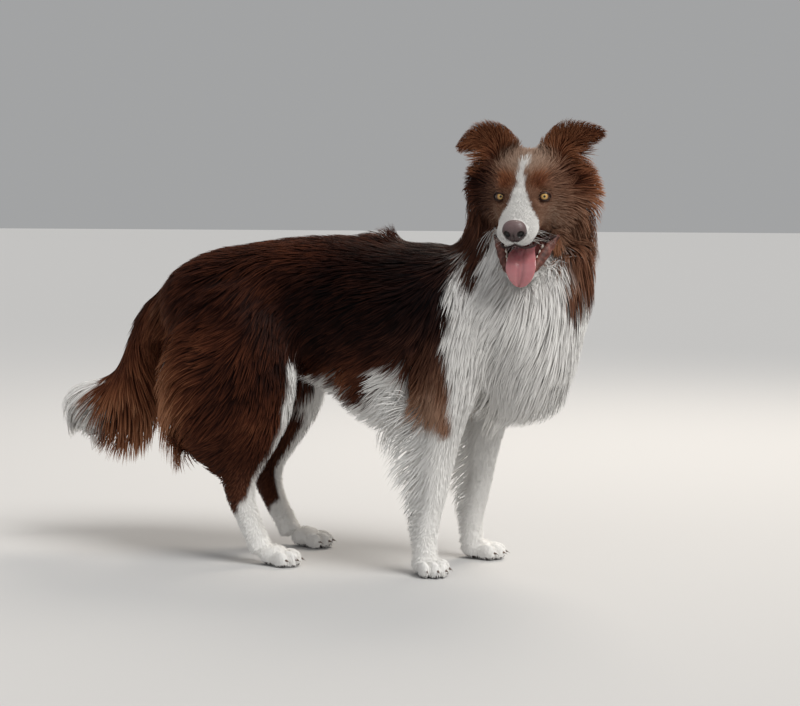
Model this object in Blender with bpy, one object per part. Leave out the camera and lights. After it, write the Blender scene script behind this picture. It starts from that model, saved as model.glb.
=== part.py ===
"""A long-coated herding dog at life size, standing square with its head turned to its right.

Metres, +Z up. The dog faces -Y, its left is +X, and the origin lies on the floor under the middle
of its box. Every solid gives the outline of the coat, out to the tips of the hair.
"""
import math
from collections import namedtuple

import bmesh
import bpy
from mathutils import Matrix, Vector

# Stance: how far forward and outward each paw stands, and which way it points.
FORE_STANCE = 0.083
HIND_STANCE = 0.088
RIGHT_FOREPAW = (0.074, 38)
LEFT_FOREPAW = (0.106, 2)
RIGHT_HINDPAW = (-0.185, 8)
LEFT_HINDPAW = (-0.202, -4)

# Head: the point midway between the eyes, and how the head is turned about it.
EYE_MIDDLE = (-0.085, 0.231, 0.597)
HEAD_YAW = math.radians(84)
HEAD_PITCH = math.radians(17)
EYE_SPACING = 0.066
EYE_RADIUS = 0.0105
EYE_FORWARD = 0.003

# The hollow round each eye: its half sizes, and where its middle is from the eye's own.
ORBIT = (0.0130, 0.0170, 0.0120)
ORBIT_OUTWARD = 0.002
ORBIT_FORWARD = 0.019
ORBIT_UP = 0.003

# Paws: the pad's half sizes, one toe's half sizes, where the toes stand across the paw's width and
# how far each is ahead of the outer ones, how far they reach past the pad, and how they fan out.
PAW_WIDTH = 0.052
PAD = (0.024, 0.030, 0.022)
PAD_HEIGHT = 0.015
TOE = (0.0085, 0.0180, 0.0180)
TOE_HEIGHT = 0.0125
TOE_SPREAD = (-0.36, -0.125, 0.125, 0.36)
TOE_LEADS = (0.0, 0.011, 0.011, 0.0)
TOE_REACH = 0.022
TOE_FAN = 0.5

# Claws, and how deep their roots are set in the toes.
CLAW_LENGTH = 0.013
CLAW_RADIUS = 0.0030
CLAW_ROOT = 0.005
CLAW_STEPS = (0, 0.4, 0.75, 1)
CLAW_SIDES = 6

# The lower teeth of one side, from the canine back: left, forward and up of the root in the head's
# frame, then the radius and the height.
LOWER_TEETH = [
    (0.0215, 0.050, -0.109, 0.0030, 0.015),
    (0.0250, 0.036, -0.104, 0.0026, 0.008),
    (0.0285, 0.024, -0.101, 0.0030, 0.009),
    (0.0320, 0.010, -0.096, 0.0034, 0.010),
]

# How the flesh is made into one surface and parted again.
VOXEL = 0.0052
FLESH_FACES = 3400
FACE_THINNING = 0.6
PAW_THINNING = 0.8
GAP = 0.0004
SIDES = 28

# Where the flesh is parted: the head's underside and half width and the jaw's half width in the
# head's frame, the root of the tail, and the top of each paw.
HEAD_FLOOR = -0.134
HEAD_HALF_WIDTH = 0.120
JAW_HALF_WIDTH = 0.050
TAIL_ROOT = -0.408
PAW_TOP = 0.072

# Each finish's colour and roughness.
FINISHES = {
    "brown coat": ((0.085, 0.030, 0.016), 0.7),
    "white coat": ((0.72, 0.70, 0.68), 0.7),
    "amber eye": ((0.42, 0.22, 0.05), 0.1),
    "nose leather": ((0.075, 0.035, 0.030), 0.4),
    "tongue": ((0.55, 0.18, 0.19), 0.35),
    "claw": ((0.16, 0.11, 0.08), 0.4),
}

# One section of a long body: its middle (left, forward, up), half its width, and how far it
# reaches from the middle to the front (or upper) side and to the back (or under) side.
Section = namedtuple("Section", "left forward up wide front back")

TRUNK = [
    Section(0, -0.410, 0.405, 0.045, 0.040, 0.060),
    Section(0, -0.380, 0.410, 0.082, 0.070, 0.095),
    Section(0, -0.320, 0.420, 0.103, 0.090, 0.110),
    Section(0, -0.250, 0.425, 0.106, 0.098, 0.105),
    Section(0, -0.170, 0.425, 0.100, 0.109, 0.108),
    Section(0, -0.087, 0.420, 0.112, 0.116, 0.135),
    Section(0, -0.010, 0.410, 0.126, 0.117, 0.172),
    Section(0, 0.060, 0.400, 0.130, 0.125, 0.165),
    Section(0, 0.130, 0.395, 0.128, 0.120, 0.135),
    Section(0, 0.195, 0.385, 0.112, 0.095, 0.110),
    Section(0, 0.245, 0.375, 0.080, 0.070, 0.080),
]
CREST = [
    Section(0, -0.075, 0.520, 0.030, 0.014, 0.020),
    Section(0, -0.040, 0.530, 0.024, 0.013, 0.020),
    Section(0, -0.010, 0.541, 0.014, 0.010, 0.020),
]
NECK = [
    Section(0.000, 0.222, 0.615, 0.045, 0.070, 0.075),
    Section(0.004, 0.220, 0.565, 0.056, 0.103, 0.100),
    Section(0.006, 0.214, 0.505, 0.072, 0.122, 0.118),
    Section(0.000, 0.203, 0.450, 0.098, 0.122, 0.135),
    Section(-0.003, 0.190, 0.400, 0.113, 0.114, 0.130),
    Section(0, 0.182, 0.350, 0.102, 0.115, 0.110),
    Section(0, 0.178, 0.310, 0.080, 0.095, 0.090),
    Section(0, 0.170, 0.280, 0.050, 0.060, 0.060),
]
TAIL = [
    Section(0, -0.604, 0.256, 0.014, 0.014, 0.018),
    Section(0, -0.585, 0.257, 0.032, 0.032, 0.046),
    Section(0, -0.553, 0.257, 0.045, 0.040, 0.066),
    Section(0, -0.520, 0.263, 0.052, 0.042, 0.085),
    Section(0, -0.494, 0.280, 0.052, 0.040, 0.086),
    Section(0, -0.476, 0.312, 0.050, 0.038, 0.070),
    Section(0, -0.460, 0.350, 0.046, 0.038, 0.040),
    Section(0, -0.432, 0.388, 0.046, 0.038, 0.045),
    Section(0, -0.396, 0.416, 0.050, 0.036, 0.050),
    Section(0, -0.350, 0.436, 0.050, 0.036, 0.055),
]
TAIL_FEATHER = [
    Section(0, -0.495, 0.275, 0.040, 0.066, 0.055),
    Section(0, -0.488, 0.225, 0.036, 0.076, 0.070),
    Section(0, -0.480, 0.180, 0.026, 0.068, 0.062),
    Section(0, -0.470, 0.150, 0.010, 0.038, 0.036),
]
# The two sides of the dog stand differently, so each leg has its own list, from the top down.
RIGHT_FORELEG = [
    Section(-0.078, 0.135, 0.400, 0.052, 0.060, 0.075),
    Section(-0.090, 0.118, 0.330, 0.052, 0.058, 0.078),
    Section(-0.092, 0.106, 0.270, 0.045, 0.045, 0.080),
    Section(-0.089, 0.098, 0.225, 0.036, 0.037, 0.092),
    Section(-0.086, 0.092, 0.180, 0.031, 0.030, 0.094),
    Section(-0.084, 0.086, 0.135, 0.028, 0.026, 0.066),
    Section(-0.083, 0.078, 0.095, 0.025, 0.023, 0.044),
    Section(-0.083, 0.073, 0.060, 0.025, 0.023, 0.030),
    Section(-0.083, 0.073, 0.022, 0.025, 0.024, 0.024),
]
LEFT_FORELEG = [
    Section(0.078, 0.145, 0.400, 0.052, 0.060, 0.075),
    Section(0.090, 0.132, 0.330, 0.052, 0.058, 0.078),
    Section(0.092, 0.122, 0.270, 0.045, 0.045, 0.080),
    Section(0.089, 0.117, 0.225, 0.036, 0.037, 0.090),
    Section(0.086, 0.112, 0.180, 0.031, 0.031, 0.088),
    Section(0.084, 0.108, 0.135, 0.028, 0.026, 0.064),
    Section(0.083, 0.102, 0.095, 0.025, 0.022, 0.042),
    Section(0.083, 0.097, 0.060, 0.024, 0.020, 0.028),
    Section(0.083, 0.097, 0.022, 0.024, 0.022, 0.024),
]
RIGHT_HINDLEG = [
    Section(-0.068, -0.270, 0.435, 0.055, 0.080, 0.090),
    Section(-0.084, -0.250, 0.370, 0.062, 0.105, 0.140),
    Section(-0.094, -0.240, 0.310, 0.058, 0.100, 0.160),
    Section(-0.097, -0.238, 0.260, 0.050, 0.093, 0.160),
    Section(-0.095, -0.240, 0.215, 0.043, 0.075, 0.163),
    Section(-0.091, -0.242, 0.178, 0.034, 0.055, 0.125),
    Section(-0.088, -0.243, 0.140, 0.026, 0.034, 0.036),
    Section(-0.087, -0.240, 0.110, 0.023, 0.026, 0.034),
    Section(-0.087, -0.232, 0.080, 0.022, 0.023, 0.025),
    Section(-0.088, -0.222, 0.055, 0.023, 0.022, 0.023),
    Section(-0.088, -0.208, 0.024, 0.024, 0.024, 0.023),
]
LEFT_HINDLEG = [
    Section(0.068, -0.280, 0.435, 0.055, 0.080, 0.090),
    Section(0.084, -0.268, 0.370, 0.062, 0.105, 0.130),
    Section(0.094, -0.262, 0.310, 0.058, 0.100, 0.145),
    Section(0.097, -0.262, 0.260, 0.050, 0.093, 0.142),
    Section(0.095, -0.266, 0.215, 0.043, 0.075, 0.140),
    Section(0.091, -0.268, 0.178, 0.034, 0.055, 0.105),
    Section(0.088, -0.270, 0.140, 0.026, 0.034, 0.036),
    Section(0.087, -0.268, 0.110, 0.023, 0.026, 0.034),
    Section(0.087, -0.260, 0.080, 0.022, 0.023, 0.025),
    Section(0.088, -0.248, 0.055, 0.023, 0.022, 0.023),
    Section(0.088, -0.232, 0.024, 0.024, 0.024, 0.023),
]

# The head's sections are in its own frame: toward its left, forward along the face and up, from
# the point midway between the eyes.
SKULL = [
    Section(0, -0.130, -0.010, 0.075, 0.045, 0.060),
    Section(0, -0.095, -0.012, 0.106, 0.064, 0.088),
    Section(0, -0.060, -0.015, 0.099, 0.075, 0.092),
    Section(0, -0.030, -0.015, 0.083, 0.070, 0.080),
    Section(0, -0.006, -0.014, 0.063, 0.055, 0.062),
    Section(0, 0.008, -0.016, 0.049, 0.038, 0.048),
    Section(0, 0.022, -0.022, 0.038, 0.026, 0.040),
    Section(0, 0.045, -0.031, 0.033, 0.026, 0.031),
    Section(0, 0.070, -0.037, 0.032, 0.022, 0.025),
    Section(0, 0.083, -0.040, 0.026, 0.016, 0.020),
]
JAW = [
    Section(0, -0.065, -0.075, 0.057, 0.030, 0.045),
    Section(0, -0.030, -0.085, 0.049, 0.022, 0.032),
    Section(0, 0.000, -0.096, 0.041, 0.017, 0.024),
    Section(0, 0.028, -0.106, 0.032, 0.013, 0.020),
    Section(0, 0.052, -0.112, 0.025, 0.012, 0.017),
    Section(0, 0.065, -0.115, 0.016, 0.009, 0.012),
]
TONGUE = [
    Section(0.001, 0.000, -0.080, 0.014, 0.004, 0.004),
    Section(0.001, 0.030, -0.081, 0.017, 0.005, 0.005),
    Section(0.002, 0.052, -0.086, 0.019, 0.005, 0.005),
    Section(0.002, 0.068, -0.096, 0.021, 0.005, 0.005),
    Section(0.001, 0.078, -0.108, 0.021, 0.004, 0.004),
    Section(0.000, 0.082, -0.120, 0.014, 0.003, 0.003),
]
RIGHT_EAR = [
    Section(-0.044, -0.062, 0.024, 0.026, 0.009, 0.009),
    Section(-0.046, -0.074, 0.052, 0.030, 0.008, 0.008),
    Section(-0.055, -0.080, 0.069, 0.025, 0.007, 0.007),
    Section(-0.077, -0.080, 0.072, 0.020, 0.006, 0.006),
    Section(-0.099, -0.076, 0.064, 0.013, 0.005, 0.005),
    Section(-0.114, -0.072, 0.055, 0.006, 0.003, 0.003),
]
LEFT_EAR = [
    Section(0.046, -0.062, 0.024, 0.026, 0.009, 0.009),
    Section(0.049, -0.074, 0.053, 0.030, 0.008, 0.008),
    Section(0.060, -0.080, 0.073, 0.026, 0.007, 0.007),
    Section(0.083, -0.080, 0.078, 0.021, 0.006, 0.006),
    Section(0.104, -0.076, 0.081, 0.015, 0.005, 0.005),
    Section(0.119, -0.072, 0.083, 0.007, 0.003, 0.003),
]
NOSE = [
    Section(0, 0.070, -0.028, 0.012, 0.010, 0.012),
    Section(0, 0.080, -0.029, 0.0180, 0.0150, 0.0165),
    Section(0, 0.089, -0.031, 0.0165, 0.0130, 0.0150),
]


def at(left, forward, up):
    """A place on the dog, from its left, its front and the floor."""
    return Vector((left, -forward, up))


def head_frame():
    """The head's own frame: its columns are the head's left, its back and its top."""
    ahead = Vector((-math.sin(HEAD_YAW), -math.cos(HEAD_YAW), 0)) * math.cos(HEAD_PITCH)
    ahead.z = -math.sin(HEAD_PITCH)
    left = Vector((math.cos(HEAD_YAW), -math.sin(HEAD_YAW), 0))
    up = ahead.cross(left)
    turn = Matrix((left, -ahead, up)).transposed().to_4x4()
    return Matrix.Translation(at(*EYE_MIDDLE)) @ turn


def smooth_rows(rows, steps):
    """Rows of numbers along a smooth curve through the given rows."""
    last = len(rows) - 1
    found = []
    for step in range(last * steps + 1):
        i, part = divmod(step, steps)
        if i == last:
            i, part = last - 1, steps
        t = part / steps
        p0, p1, p2, p3 = (rows[min(max(k, 0), last)] for k in (i - 1, i, i + 1, i + 2))
        found.append([
            0.5 * (2 * b + (c - a) * t + (2 * a - 5 * b + 4 * c - d) * t ** 2
                   + (3 * b - a - 3 * c + d) * t ** 3)
            for a, b, c, d in zip(p0, p1, p2, p3)
        ])
    return found


def add_tube(mesh, sections, facing, frame=None, steps=4, sides=SIDES):
    """Adds a closed body to a bmesh through the sections. Facing is the side that front means."""
    rows = [Section(*row) for row in smooth_rows(sections, steps)]
    middles = [at(row.left, row.forward, row.up) for row in rows]
    rings = []
    for i, row in enumerate(rows):
        along = (middles[min(i + 1, len(rows) - 1)] - middles[max(i - 1, 0)]).normalized()
        front = (facing - along * facing.dot(along)).normalized()
        side = front.cross(along)
        ring = []
        for k in range(sides):
            turn = math.tau * k / sides
            reach = row.front if math.sin(turn) > 0 else row.back
            point = middles[i] + side * (row.wide * math.cos(turn)) + front * (reach * math.sin(turn))
            ring.append(mesh.verts.new(frame @ point if frame else point))
        rings.append((ring, along, row))
    for (ring, _, _), (following, _, _) in zip(rings, rings[1:]):
        for k in range(sides):
            mesh.faces.new((ring[k], ring[k - 1], following[k - 1], following[k]))
    # Each end is rounded by half of its smallest reach.
    for (ring, along, row), outward in ((rings[0], -1), (rings[-1], 1)):
        middle = sum((vert.co for vert in ring), Vector()) / sides
        depth = 0.5 * min(row.wide, row.front, row.back)
        push = (frame.to_3x3() @ along if frame else along) * (outward * depth)
        tip = mesh.verts.new(middle + push)
        for k in range(sides):
            mesh.faces.new((ring[k - 1], ring[k], tip) if outward < 0 else (ring[k], ring[k - 1], tip))


def add_ball(mesh, place, radii, turn=0.0, segments=16):
    """Adds an ellipsoid to a bmesh, turned about the vertical."""
    shape = Matrix.Translation(place) @ Matrix.Rotation(turn, 4, "Z") @ Matrix.Diagonal((*radii, 1))
    bmesh.ops.create_uvsphere(mesh, u_segments=segments, v_segments=segments // 2, radius=1, matrix=shape)


def paws():
    """Each paw's name, how far it is to the left, and its place forward and turn."""
    return {
        "foreright": (-FORE_STANCE, RIGHT_FOREPAW),
        "foreleft": (FORE_STANCE, LEFT_FOREPAW),
        "hindright": (-HIND_STANCE, RIGHT_HINDPAW),
        "hindleft": (HIND_STANCE, LEFT_HINDPAW),
    }


def outward_turn(left, degrees):
    """The angle about the vertical that turns a paw outward by the degrees."""
    return math.copysign(math.radians(degrees), left * degrees)


def toe_places(left, forward, turn):
    """Where the middles of a paw's four toes lie, and which way each points."""
    found = []
    for aside, lead in zip(TOE_SPREAD, TOE_LEADS):
        offset = Matrix.Rotation(turn, 3, "Z") @ Vector((aside * PAW_WIDTH, -TOE_REACH - lead, 0))
        found.append((at(left, forward, TOE_HEIGHT) + offset, turn + aside * TOE_FAN))
    return found


def add_paw(mesh, left, forward, degrees):
    """Adds a paw: its pad, and four arched toes. It turns outward by the degrees."""
    turn = outward_turn(left, degrees)
    add_ball(mesh, at(left, forward, PAD_HEIGHT), PAD, turn)
    for place, angle in toe_places(left, forward, turn):
        add_ball(mesh, place, TOE, angle)


def new_object(name, mesh, coat=None):
    """An object from a bmesh, with its faces outward and shaded smooth."""
    bmesh.ops.recalc_face_normals(mesh, faces=mesh.faces)
    data = bpy.data.meshes.new(name)
    mesh.to_mesh(data)
    mesh.free()
    data.shade_smooth()
    obj = bpy.data.objects.new(name, data)
    bpy.context.scene.collection.objects.link(obj)
    if coat:
        obj.data.materials.append(coat)
    return obj


def settle(obj):
    """Turns an object's modifiers into plain mesh."""
    bpy.context.view_layer.update()
    graph = bpy.context.evaluated_depsgraph_get()
    data = bpy.data.meshes.new_from_object(obj.evaluated_get(graph))
    obj.modifiers.clear()
    obj.data = data
    return obj


def material(name, colour, roughness):
    """A plain finish."""
    made = bpy.data.materials.new(name)
    made.use_nodes = True
    shader = made.node_tree.nodes["Principled BSDF"]
    shader.inputs["Base Color"].default_value = (*colour, 1)
    shader.inputs["Roughness"].default_value = roughness
    return made


def make_flesh(frame):
    """The whole dog without its ears, eyes, nose, tongue and claws, as one closed surface."""
    mesh = bmesh.new()
    up = Vector((0, 0, 1))
    ahead = Vector((0, -1, 0))
    add_tube(mesh, TRUNK, up)
    add_tube(mesh, CREST, up)
    add_tube(mesh, NECK, ahead)
    add_tube(mesh, TAIL, Vector((0, 1, 1)).normalized())
    add_tube(mesh, TAIL_FEATHER, ahead)
    for leg in (RIGHT_FORELEG, LEFT_FORELEG, RIGHT_HINDLEG, LEFT_HINDLEG):
        add_tube(mesh, leg, ahead)
    add_tube(mesh, SKULL, up, frame)
    add_tube(mesh, JAW, up, frame)
    for left, (forward, degrees) in paws().values():
        add_paw(mesh, left, forward, degrees)
    flesh = new_object("flesh", mesh)
    remesh = flesh.modifiers.new("one surface", "REMESH")
    remesh.mode = "VOXEL"
    remesh.voxel_size = VOXEL
    smooth = flesh.modifiers.new("smooth", "SMOOTH")
    smooth.factor = 0.5
    smooth.iterations = 3
    settle(flesh)
    mark_fine_places(flesh, frame)
    fewer = flesh.modifiers.new("fewer", "DECIMATE")
    fewer.ratio = FLESH_FACES / (2 * len(flesh.data.polygons))
    fewer.vertex_group = "fine"
    fewer.vertex_group_factor = 0.01
    settle(flesh)
    mesh = bmesh.new()
    mesh.from_mesh(flesh.data)
    keep_inside(mesh, Vector(), Vector((0, 0, -1)))
    bmesh.ops.triangulate(mesh, faces=mesh.faces)
    mesh.to_mesh(flesh.data)
    mesh.free()
    return flesh


def mark_fine_places(flesh, frame):
    """A vertex group of the face and the paws, which keep smaller faces than the body."""
    back = frame.inverted()
    group = flesh.vertex_groups.new(name="fine")
    for vert in flesh.data.vertices:
        place = back @ vert.co
        face = -0.14 < place.y < 0.02 and abs(place.x) < 0.07 and abs(place.z) < 0.13
        weight = FACE_THINNING if face else PAW_THINNING if vert.co.z < 0.06 else 1.0
        group.add([vert.index], weight, "REPLACE")


def cell(planes, grow):
    """A large block cut back to the inner side of each plane, which is a point and an outward way."""
    mesh = bmesh.new()
    bmesh.ops.create_cube(mesh, size=4)
    for point, outward in planes:
        way = outward.normalized()
        keep_inside(mesh, point + way * grow, way)
    return new_object("cell", mesh)


def keep_inside(mesh, point, outward):
    """Cuts away what lies beyond a plane, and closes the cut."""
    everything = mesh.verts[:] + mesh.edges[:] + mesh.faces[:]
    cut = bmesh.ops.bisect_plane(mesh, geom=everything, plane_co=point, plane_no=outward, clear_outer=True)
    edges = [item for item in cut["geom_cut"] if isinstance(item, bmesh.types.BMEdge)]
    bmesh.ops.holes_fill(mesh, edges=edges, sides=0)


def combine(obj, other, operation):
    """Applies a Boolean with the other object, which is then removed."""
    boolean = obj.modifiers.new(operation.lower(), "BOOLEAN")
    boolean.operation = operation
    boolean.object = other
    settle(obj)
    bpy.data.objects.remove(other, do_unlink=True)


def part_of(flesh, name, inside, outside):
    """The piece of the flesh inside every cell of one list and outside every cell of the other."""
    piece = bpy.data.objects.new(name, flesh.data.copy())
    bpy.context.scene.collection.objects.link(piece)
    for planes in inside:
        combine(piece, cell(planes, -GAP / 2), "INTERSECT")
    for planes in outside:
        combine(piece, cell(planes, GAP / 2), "DIFFERENCE")
    return piece


def head_cells(frame):
    """The planes that bound the head, and those that bound the jaw within it."""
    turn = frame.to_3x3()

    def plane(left, forward, up, outward):
        return frame @ at(left, forward, up), turn @ at(*outward)

    head = [plane(0, -0.135, 0.050, (0, -0.856, -0.518))]
    for side in (-1, 1):
        head.append(plane(side * HEAD_HALF_WIDTH, 0, 0, (side, 0, 0)))
        head.append(plane(side * 0.020, 0, HEAD_FLOOR, (side * 0.35, 0, -0.94)))
    jaw = [plane(side * JAW_HALF_WIDTH, 0, 0, (side, 0, 0)) for side in (-1, 1)] + [
        plane(0, -0.040, 0, (0, -1, 0)),
        plane(0, -0.006, -0.069, (0, 0.33, 0.94)),
    ]
    return head, jaw


def body_cells():
    """The planes that bound the neck, the tail and each leg."""
    found = {
        "neck": [(at(0, 0.075, 0.530), -at(0, 0.664, 0.747))],
        "tail": [(at(0, TAIL_ROOT, 0), at(0, 1, 0))],
    }
    for side, hand in ((-1, "right"), (1, "left")):
        found["foreleg_" + hand] = [
            (at(side * 0.045, 0, 0.250), at(-side * 0.69, 0, 0.72)),
            (at(side * 0.030, 0, 0), at(-side, 0, 0)),
            (at(0, -0.012, 0), at(0, -1, 0)),
            (at(0, 0.215, 0), at(0, 1, 0)),
        ]
        found["hindleg_" + hand] = [
            (at(side * 0.035, 0, 0.290), at(-side * 0.80, 0, 0.60)),
            (at(side * 0.020, 0, 0), at(-side, 0, 0)),
            (at(0, TAIL_ROOT, 0), at(0, -1, 0)),
            (at(0, -0.130, 0.250), at(0, 0.89, 0.45)),
        ]
    return found


def divide(flesh, frame):
    """Parts the flesh into the head, jaw, neck, trunk, tail, legs and paws."""
    head, jaw = head_cells(frame)
    cells = body_cells()
    paw = [(at(0, 0, PAW_TOP), at(0, 0, 1))]
    pieces = {
        "head": part_of(flesh, "head", [head], [jaw]),
        "jaw": part_of(flesh, "jaw", [head, jaw], []),
        "neck": part_of(flesh, "neck", [cells["neck"]], [head]),
        "tail": part_of(flesh, "tail", [cells["tail"]], []),
        "trunk": part_of(flesh, "trunk", [], [head, *cells.values()]),
    }
    for name in cells:
        if "leg" in name:
            foot = name.replace("leg", "paw")
            pieces[name] = part_of(flesh, name, [cells[name]], [paw])
            pieces[foot] = part_of(flesh, foot, [cells[name], paw], [])
    bpy.data.objects.remove(flesh, do_unlink=True)
    return pieces


def fit_into(piece, pieces):
    """Hollows each of the pieces to take a piece that is set into them, with a gap all round."""
    for holder in pieces:
        mesh = bmesh.new()
        mesh.from_mesh(piece.data)
        for vert in mesh.verts:
            vert.co += vert.normal * GAP
        combine(holder, new_object("cutter", mesh), "DIFFERENCE")


def tube_piece(name, sections, facing, frame, coat, steps, sides):
    """A separate piece along the given sections."""
    mesh = bmesh.new()
    add_tube(mesh, sections, facing, frame, steps, sides)
    return new_object(name, mesh, coat)


def claw_sections():
    """A claw from its root forward, bent down to its tip."""
    found = []
    for part in CLAW_STEPS:
        radius = CLAW_RADIUS * (1 - 0.8 * part ** 1.5)
        along = CLAW_LENGTH * part
        drop = -0.35 * CLAW_LENGTH * part ** 2
        found.append(Section(0, along, drop, radius * 0.8, radius, radius))
    return found


def add_claws(pieces, finish):
    """Four claws to each paw, set into the ends of the toes."""
    for name, (left, (forward, degrees)) in paws().items():
        hand = "right" if left < 0 else "left"
        turn = outward_turn(left, degrees)
        paw = pieces[f"{name.removesuffix(hand)}paw_{hand}"]
        for number, (place, angle) in enumerate(toe_places(left, forward, turn), 1):
            frame = Matrix.Translation(place) @ Matrix.Rotation(angle, 4, "Z")
            frame = frame @ Matrix.Translation((0, CLAW_ROOT - TOE[1], 0))
            piece = f"claw_{name}_{number}"
            claw = tube_piece(piece, claw_sections(), Vector((0, 0, 1)), frame, finish, 1, CLAW_SIDES)
            fit_into(claw, [paw])


def add_teeth(jaw, frame):
    """The lower teeth, joined to the jaw."""
    for side in (-1, 1):
        for left, forward, up, radius, height in LOWER_TEETH:
            mesh = bmesh.new()
            place = frame @ Matrix.Translation(at(side * left, forward, up + height / 2))
            bmesh.ops.create_cone(
                mesh, cap_ends=True, segments=6, radius1=radius, radius2=radius / 4, depth=height,
                matrix=place,
            )
            combine(jaw, new_object("tooth", mesh), "UNION")


def add_eyes(head, frame, finish):
    """The eyes, each set into a hollow of the head."""
    for name, side in (("eye_right", -1), ("eye_left", 1)):
        middle = (side * (EYE_SPACING / 2 + ORBIT_OUTWARD), EYE_FORWARD + ORBIT_FORWARD, ORBIT_UP)
        mesh = bmesh.new()
        add_ball(mesh, frame @ at(*middle), ORBIT, HEAD_YAW)
        combine(head, new_object("orbit", mesh), "DIFFERENCE")
        mesh = bmesh.new()
        add_ball(mesh, frame @ at(side * EYE_SPACING / 2, EYE_FORWARD, 0), (EYE_RADIUS,) * 3, segments=14)
        fit_into(new_object(name, mesh, finish), [head])


def stand_on_origin():
    """Moves every piece so that the middle of the dog's box is over the origin."""
    objects = [obj for obj in bpy.data.objects if obj.type == "MESH"]
    corners = [vert.co for obj in objects for vert in obj.data.vertices]
    low, high = (Vector(pick(corner[i] for corner in corners) for i in range(3)) for pick in (min, max))
    move = Matrix.Translation((-(low.x + high.x) / 2, -(low.y + high.y) / 2, 0))
    for obj in objects:
        obj.data.transform(move)


def clear_scene():
    """An empty scene."""
    for obj in list(bpy.data.objects):
        bpy.data.objects.remove(obj, do_unlink=True)


def build():
    """Builds the dog."""
    clear_scene()
    frame = head_frame()
    ahead = Vector((0, -1, 0))
    up = Vector((0, 0, 1))
    finishes = {name: material(name, colour, roughness) for name, (colour, roughness) in FINISHES.items()}
    pieces = divide(make_flesh(frame), frame)
    for name, piece in pieces.items():
        piece.data.materials.clear()
        white = "paw" in name or "foreleg" in name
        piece.data.materials.append(finishes["white coat" if white else "brown coat"])
    upper = [pieces["head"]]
    for name, sections in (("ear_right", RIGHT_EAR), ("ear_left", LEFT_EAR)):
        fit_into(tube_piece(name, sections, ahead, frame, finishes["brown coat"], 2, 14), upper)
    add_eyes(pieces["head"], frame, finishes["amber eye"])
    add_teeth(pieces["jaw"], frame)
    fit_into(tube_piece("nose", NOSE, up, frame, finishes["nose leather"], 2, 16), upper)
    tongue = tube_piece("tongue", TONGUE, at(0, 0.4, 1).normalized(), frame, finishes["tongue"], 2, 12)
    fit_into(tongue, [pieces["head"], pieces["jaw"]])
    add_claws(pieces, finishes["claw"])
    stand_on_origin()


build()
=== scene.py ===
import math
import time

import bmesh
import bpy
import numpy as np
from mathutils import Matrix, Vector
from mathutils.bvhtree import BVHTree
from mathutils.kdtree import KDTree


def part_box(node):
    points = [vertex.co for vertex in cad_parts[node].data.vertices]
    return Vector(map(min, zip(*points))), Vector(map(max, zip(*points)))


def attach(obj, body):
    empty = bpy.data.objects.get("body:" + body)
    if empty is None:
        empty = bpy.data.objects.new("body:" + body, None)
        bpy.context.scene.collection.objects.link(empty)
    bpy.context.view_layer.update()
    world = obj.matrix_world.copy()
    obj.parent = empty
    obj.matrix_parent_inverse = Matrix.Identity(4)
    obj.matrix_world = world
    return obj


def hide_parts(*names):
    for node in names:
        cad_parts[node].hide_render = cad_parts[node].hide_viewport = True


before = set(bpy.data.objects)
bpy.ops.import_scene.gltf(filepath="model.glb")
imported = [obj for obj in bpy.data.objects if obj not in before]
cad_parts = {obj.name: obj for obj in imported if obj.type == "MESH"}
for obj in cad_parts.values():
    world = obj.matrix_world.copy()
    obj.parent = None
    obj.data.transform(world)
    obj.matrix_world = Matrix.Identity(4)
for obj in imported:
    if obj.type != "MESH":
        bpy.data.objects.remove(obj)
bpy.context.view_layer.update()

began = time.time()


def report(words):
    print(f"[{time.time() - began:5.1f} s] {words}", flush=True)


# Where the dog and its head are.

pose = {
    "eyeMiddle": (-0.085, 0.231, 0.597),  # left, forward and up of the point between the eyes
    "eyeForward": 0.003,  # how far ahead of that point the eyes' middles are
    "headPitch": 17,  # degrees that the face looks down
}


def unit(vectors):
    vectors = np.asarray(vectors, float)
    return vectors / np.maximum(np.linalg.norm(vectors, axis=-1, keepdims=True), 1e-9)


def middle(node):
    low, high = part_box(node)
    return (np.array(low) + np.array(high)) / 2


def smoothstep(low, high, value):
    t = np.clip((value - low) / (high - low), 0, 1)
    return t * t * (3 - 2 * t)


headLeft = unit(middle("eye_left") - middle("eye_right"))
levelAhead = np.array((headLeft[1], -headLeft[0], 0))
headAhead = levelAhead * math.cos(math.radians(pose["headPitch"]))
headAhead[2] = -math.sin(math.radians(pose["headPitch"]))
headUp = np.cross(headAhead, headLeft)
headAxes = np.array((headLeft, headAhead, headUp))
headPlace = (middle("eye_left") + middle("eye_right")) / 2 - headAhead * pose["eyeForward"]
dogPlace = headPlace - np.array(pose["eyeMiddle"]) * (1, -1, 1)
dogPlace[2] = 0


def fromHead(points):
    # left, ahead and up of the point between the eyes, to the world
    return headPlace + np.asarray(points, float) @ headAxes


def toHead(points):
    return (points - headPlace) @ headAxes.T


def fromDog(points):
    # left, forward and up of the point on the floor between the paws, to the world
    return dogPlace + np.asarray(points, float) * (1, -1, 1)


def toDog(points):
    return (points - dogPlace) * (1, -1, 1)


def noise(points, size, seed, waves=9):
    # smooth noise between about -1 and 1, as a sum of waves in fixed random directions
    rng = np.random.default_rng(seed)
    total = np.zeros(len(points))
    for _ in range(waves):
        way = unit(rng.normal(size=3)) * rng.uniform(0.6, 1.6) * math.tau / (2.5 * size)
        total += np.sin(points @ way + rng.uniform(0, math.tau))
    return total / math.sqrt(waves)


# Mesh helpers.


def newObject(name, mesh, *materials):
    obj = bpy.data.objects.new(name, mesh)
    bpy.context.scene.collection.objects.link(obj)
    for item in materials:
        mesh.materials.append(item)
    return obj


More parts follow.
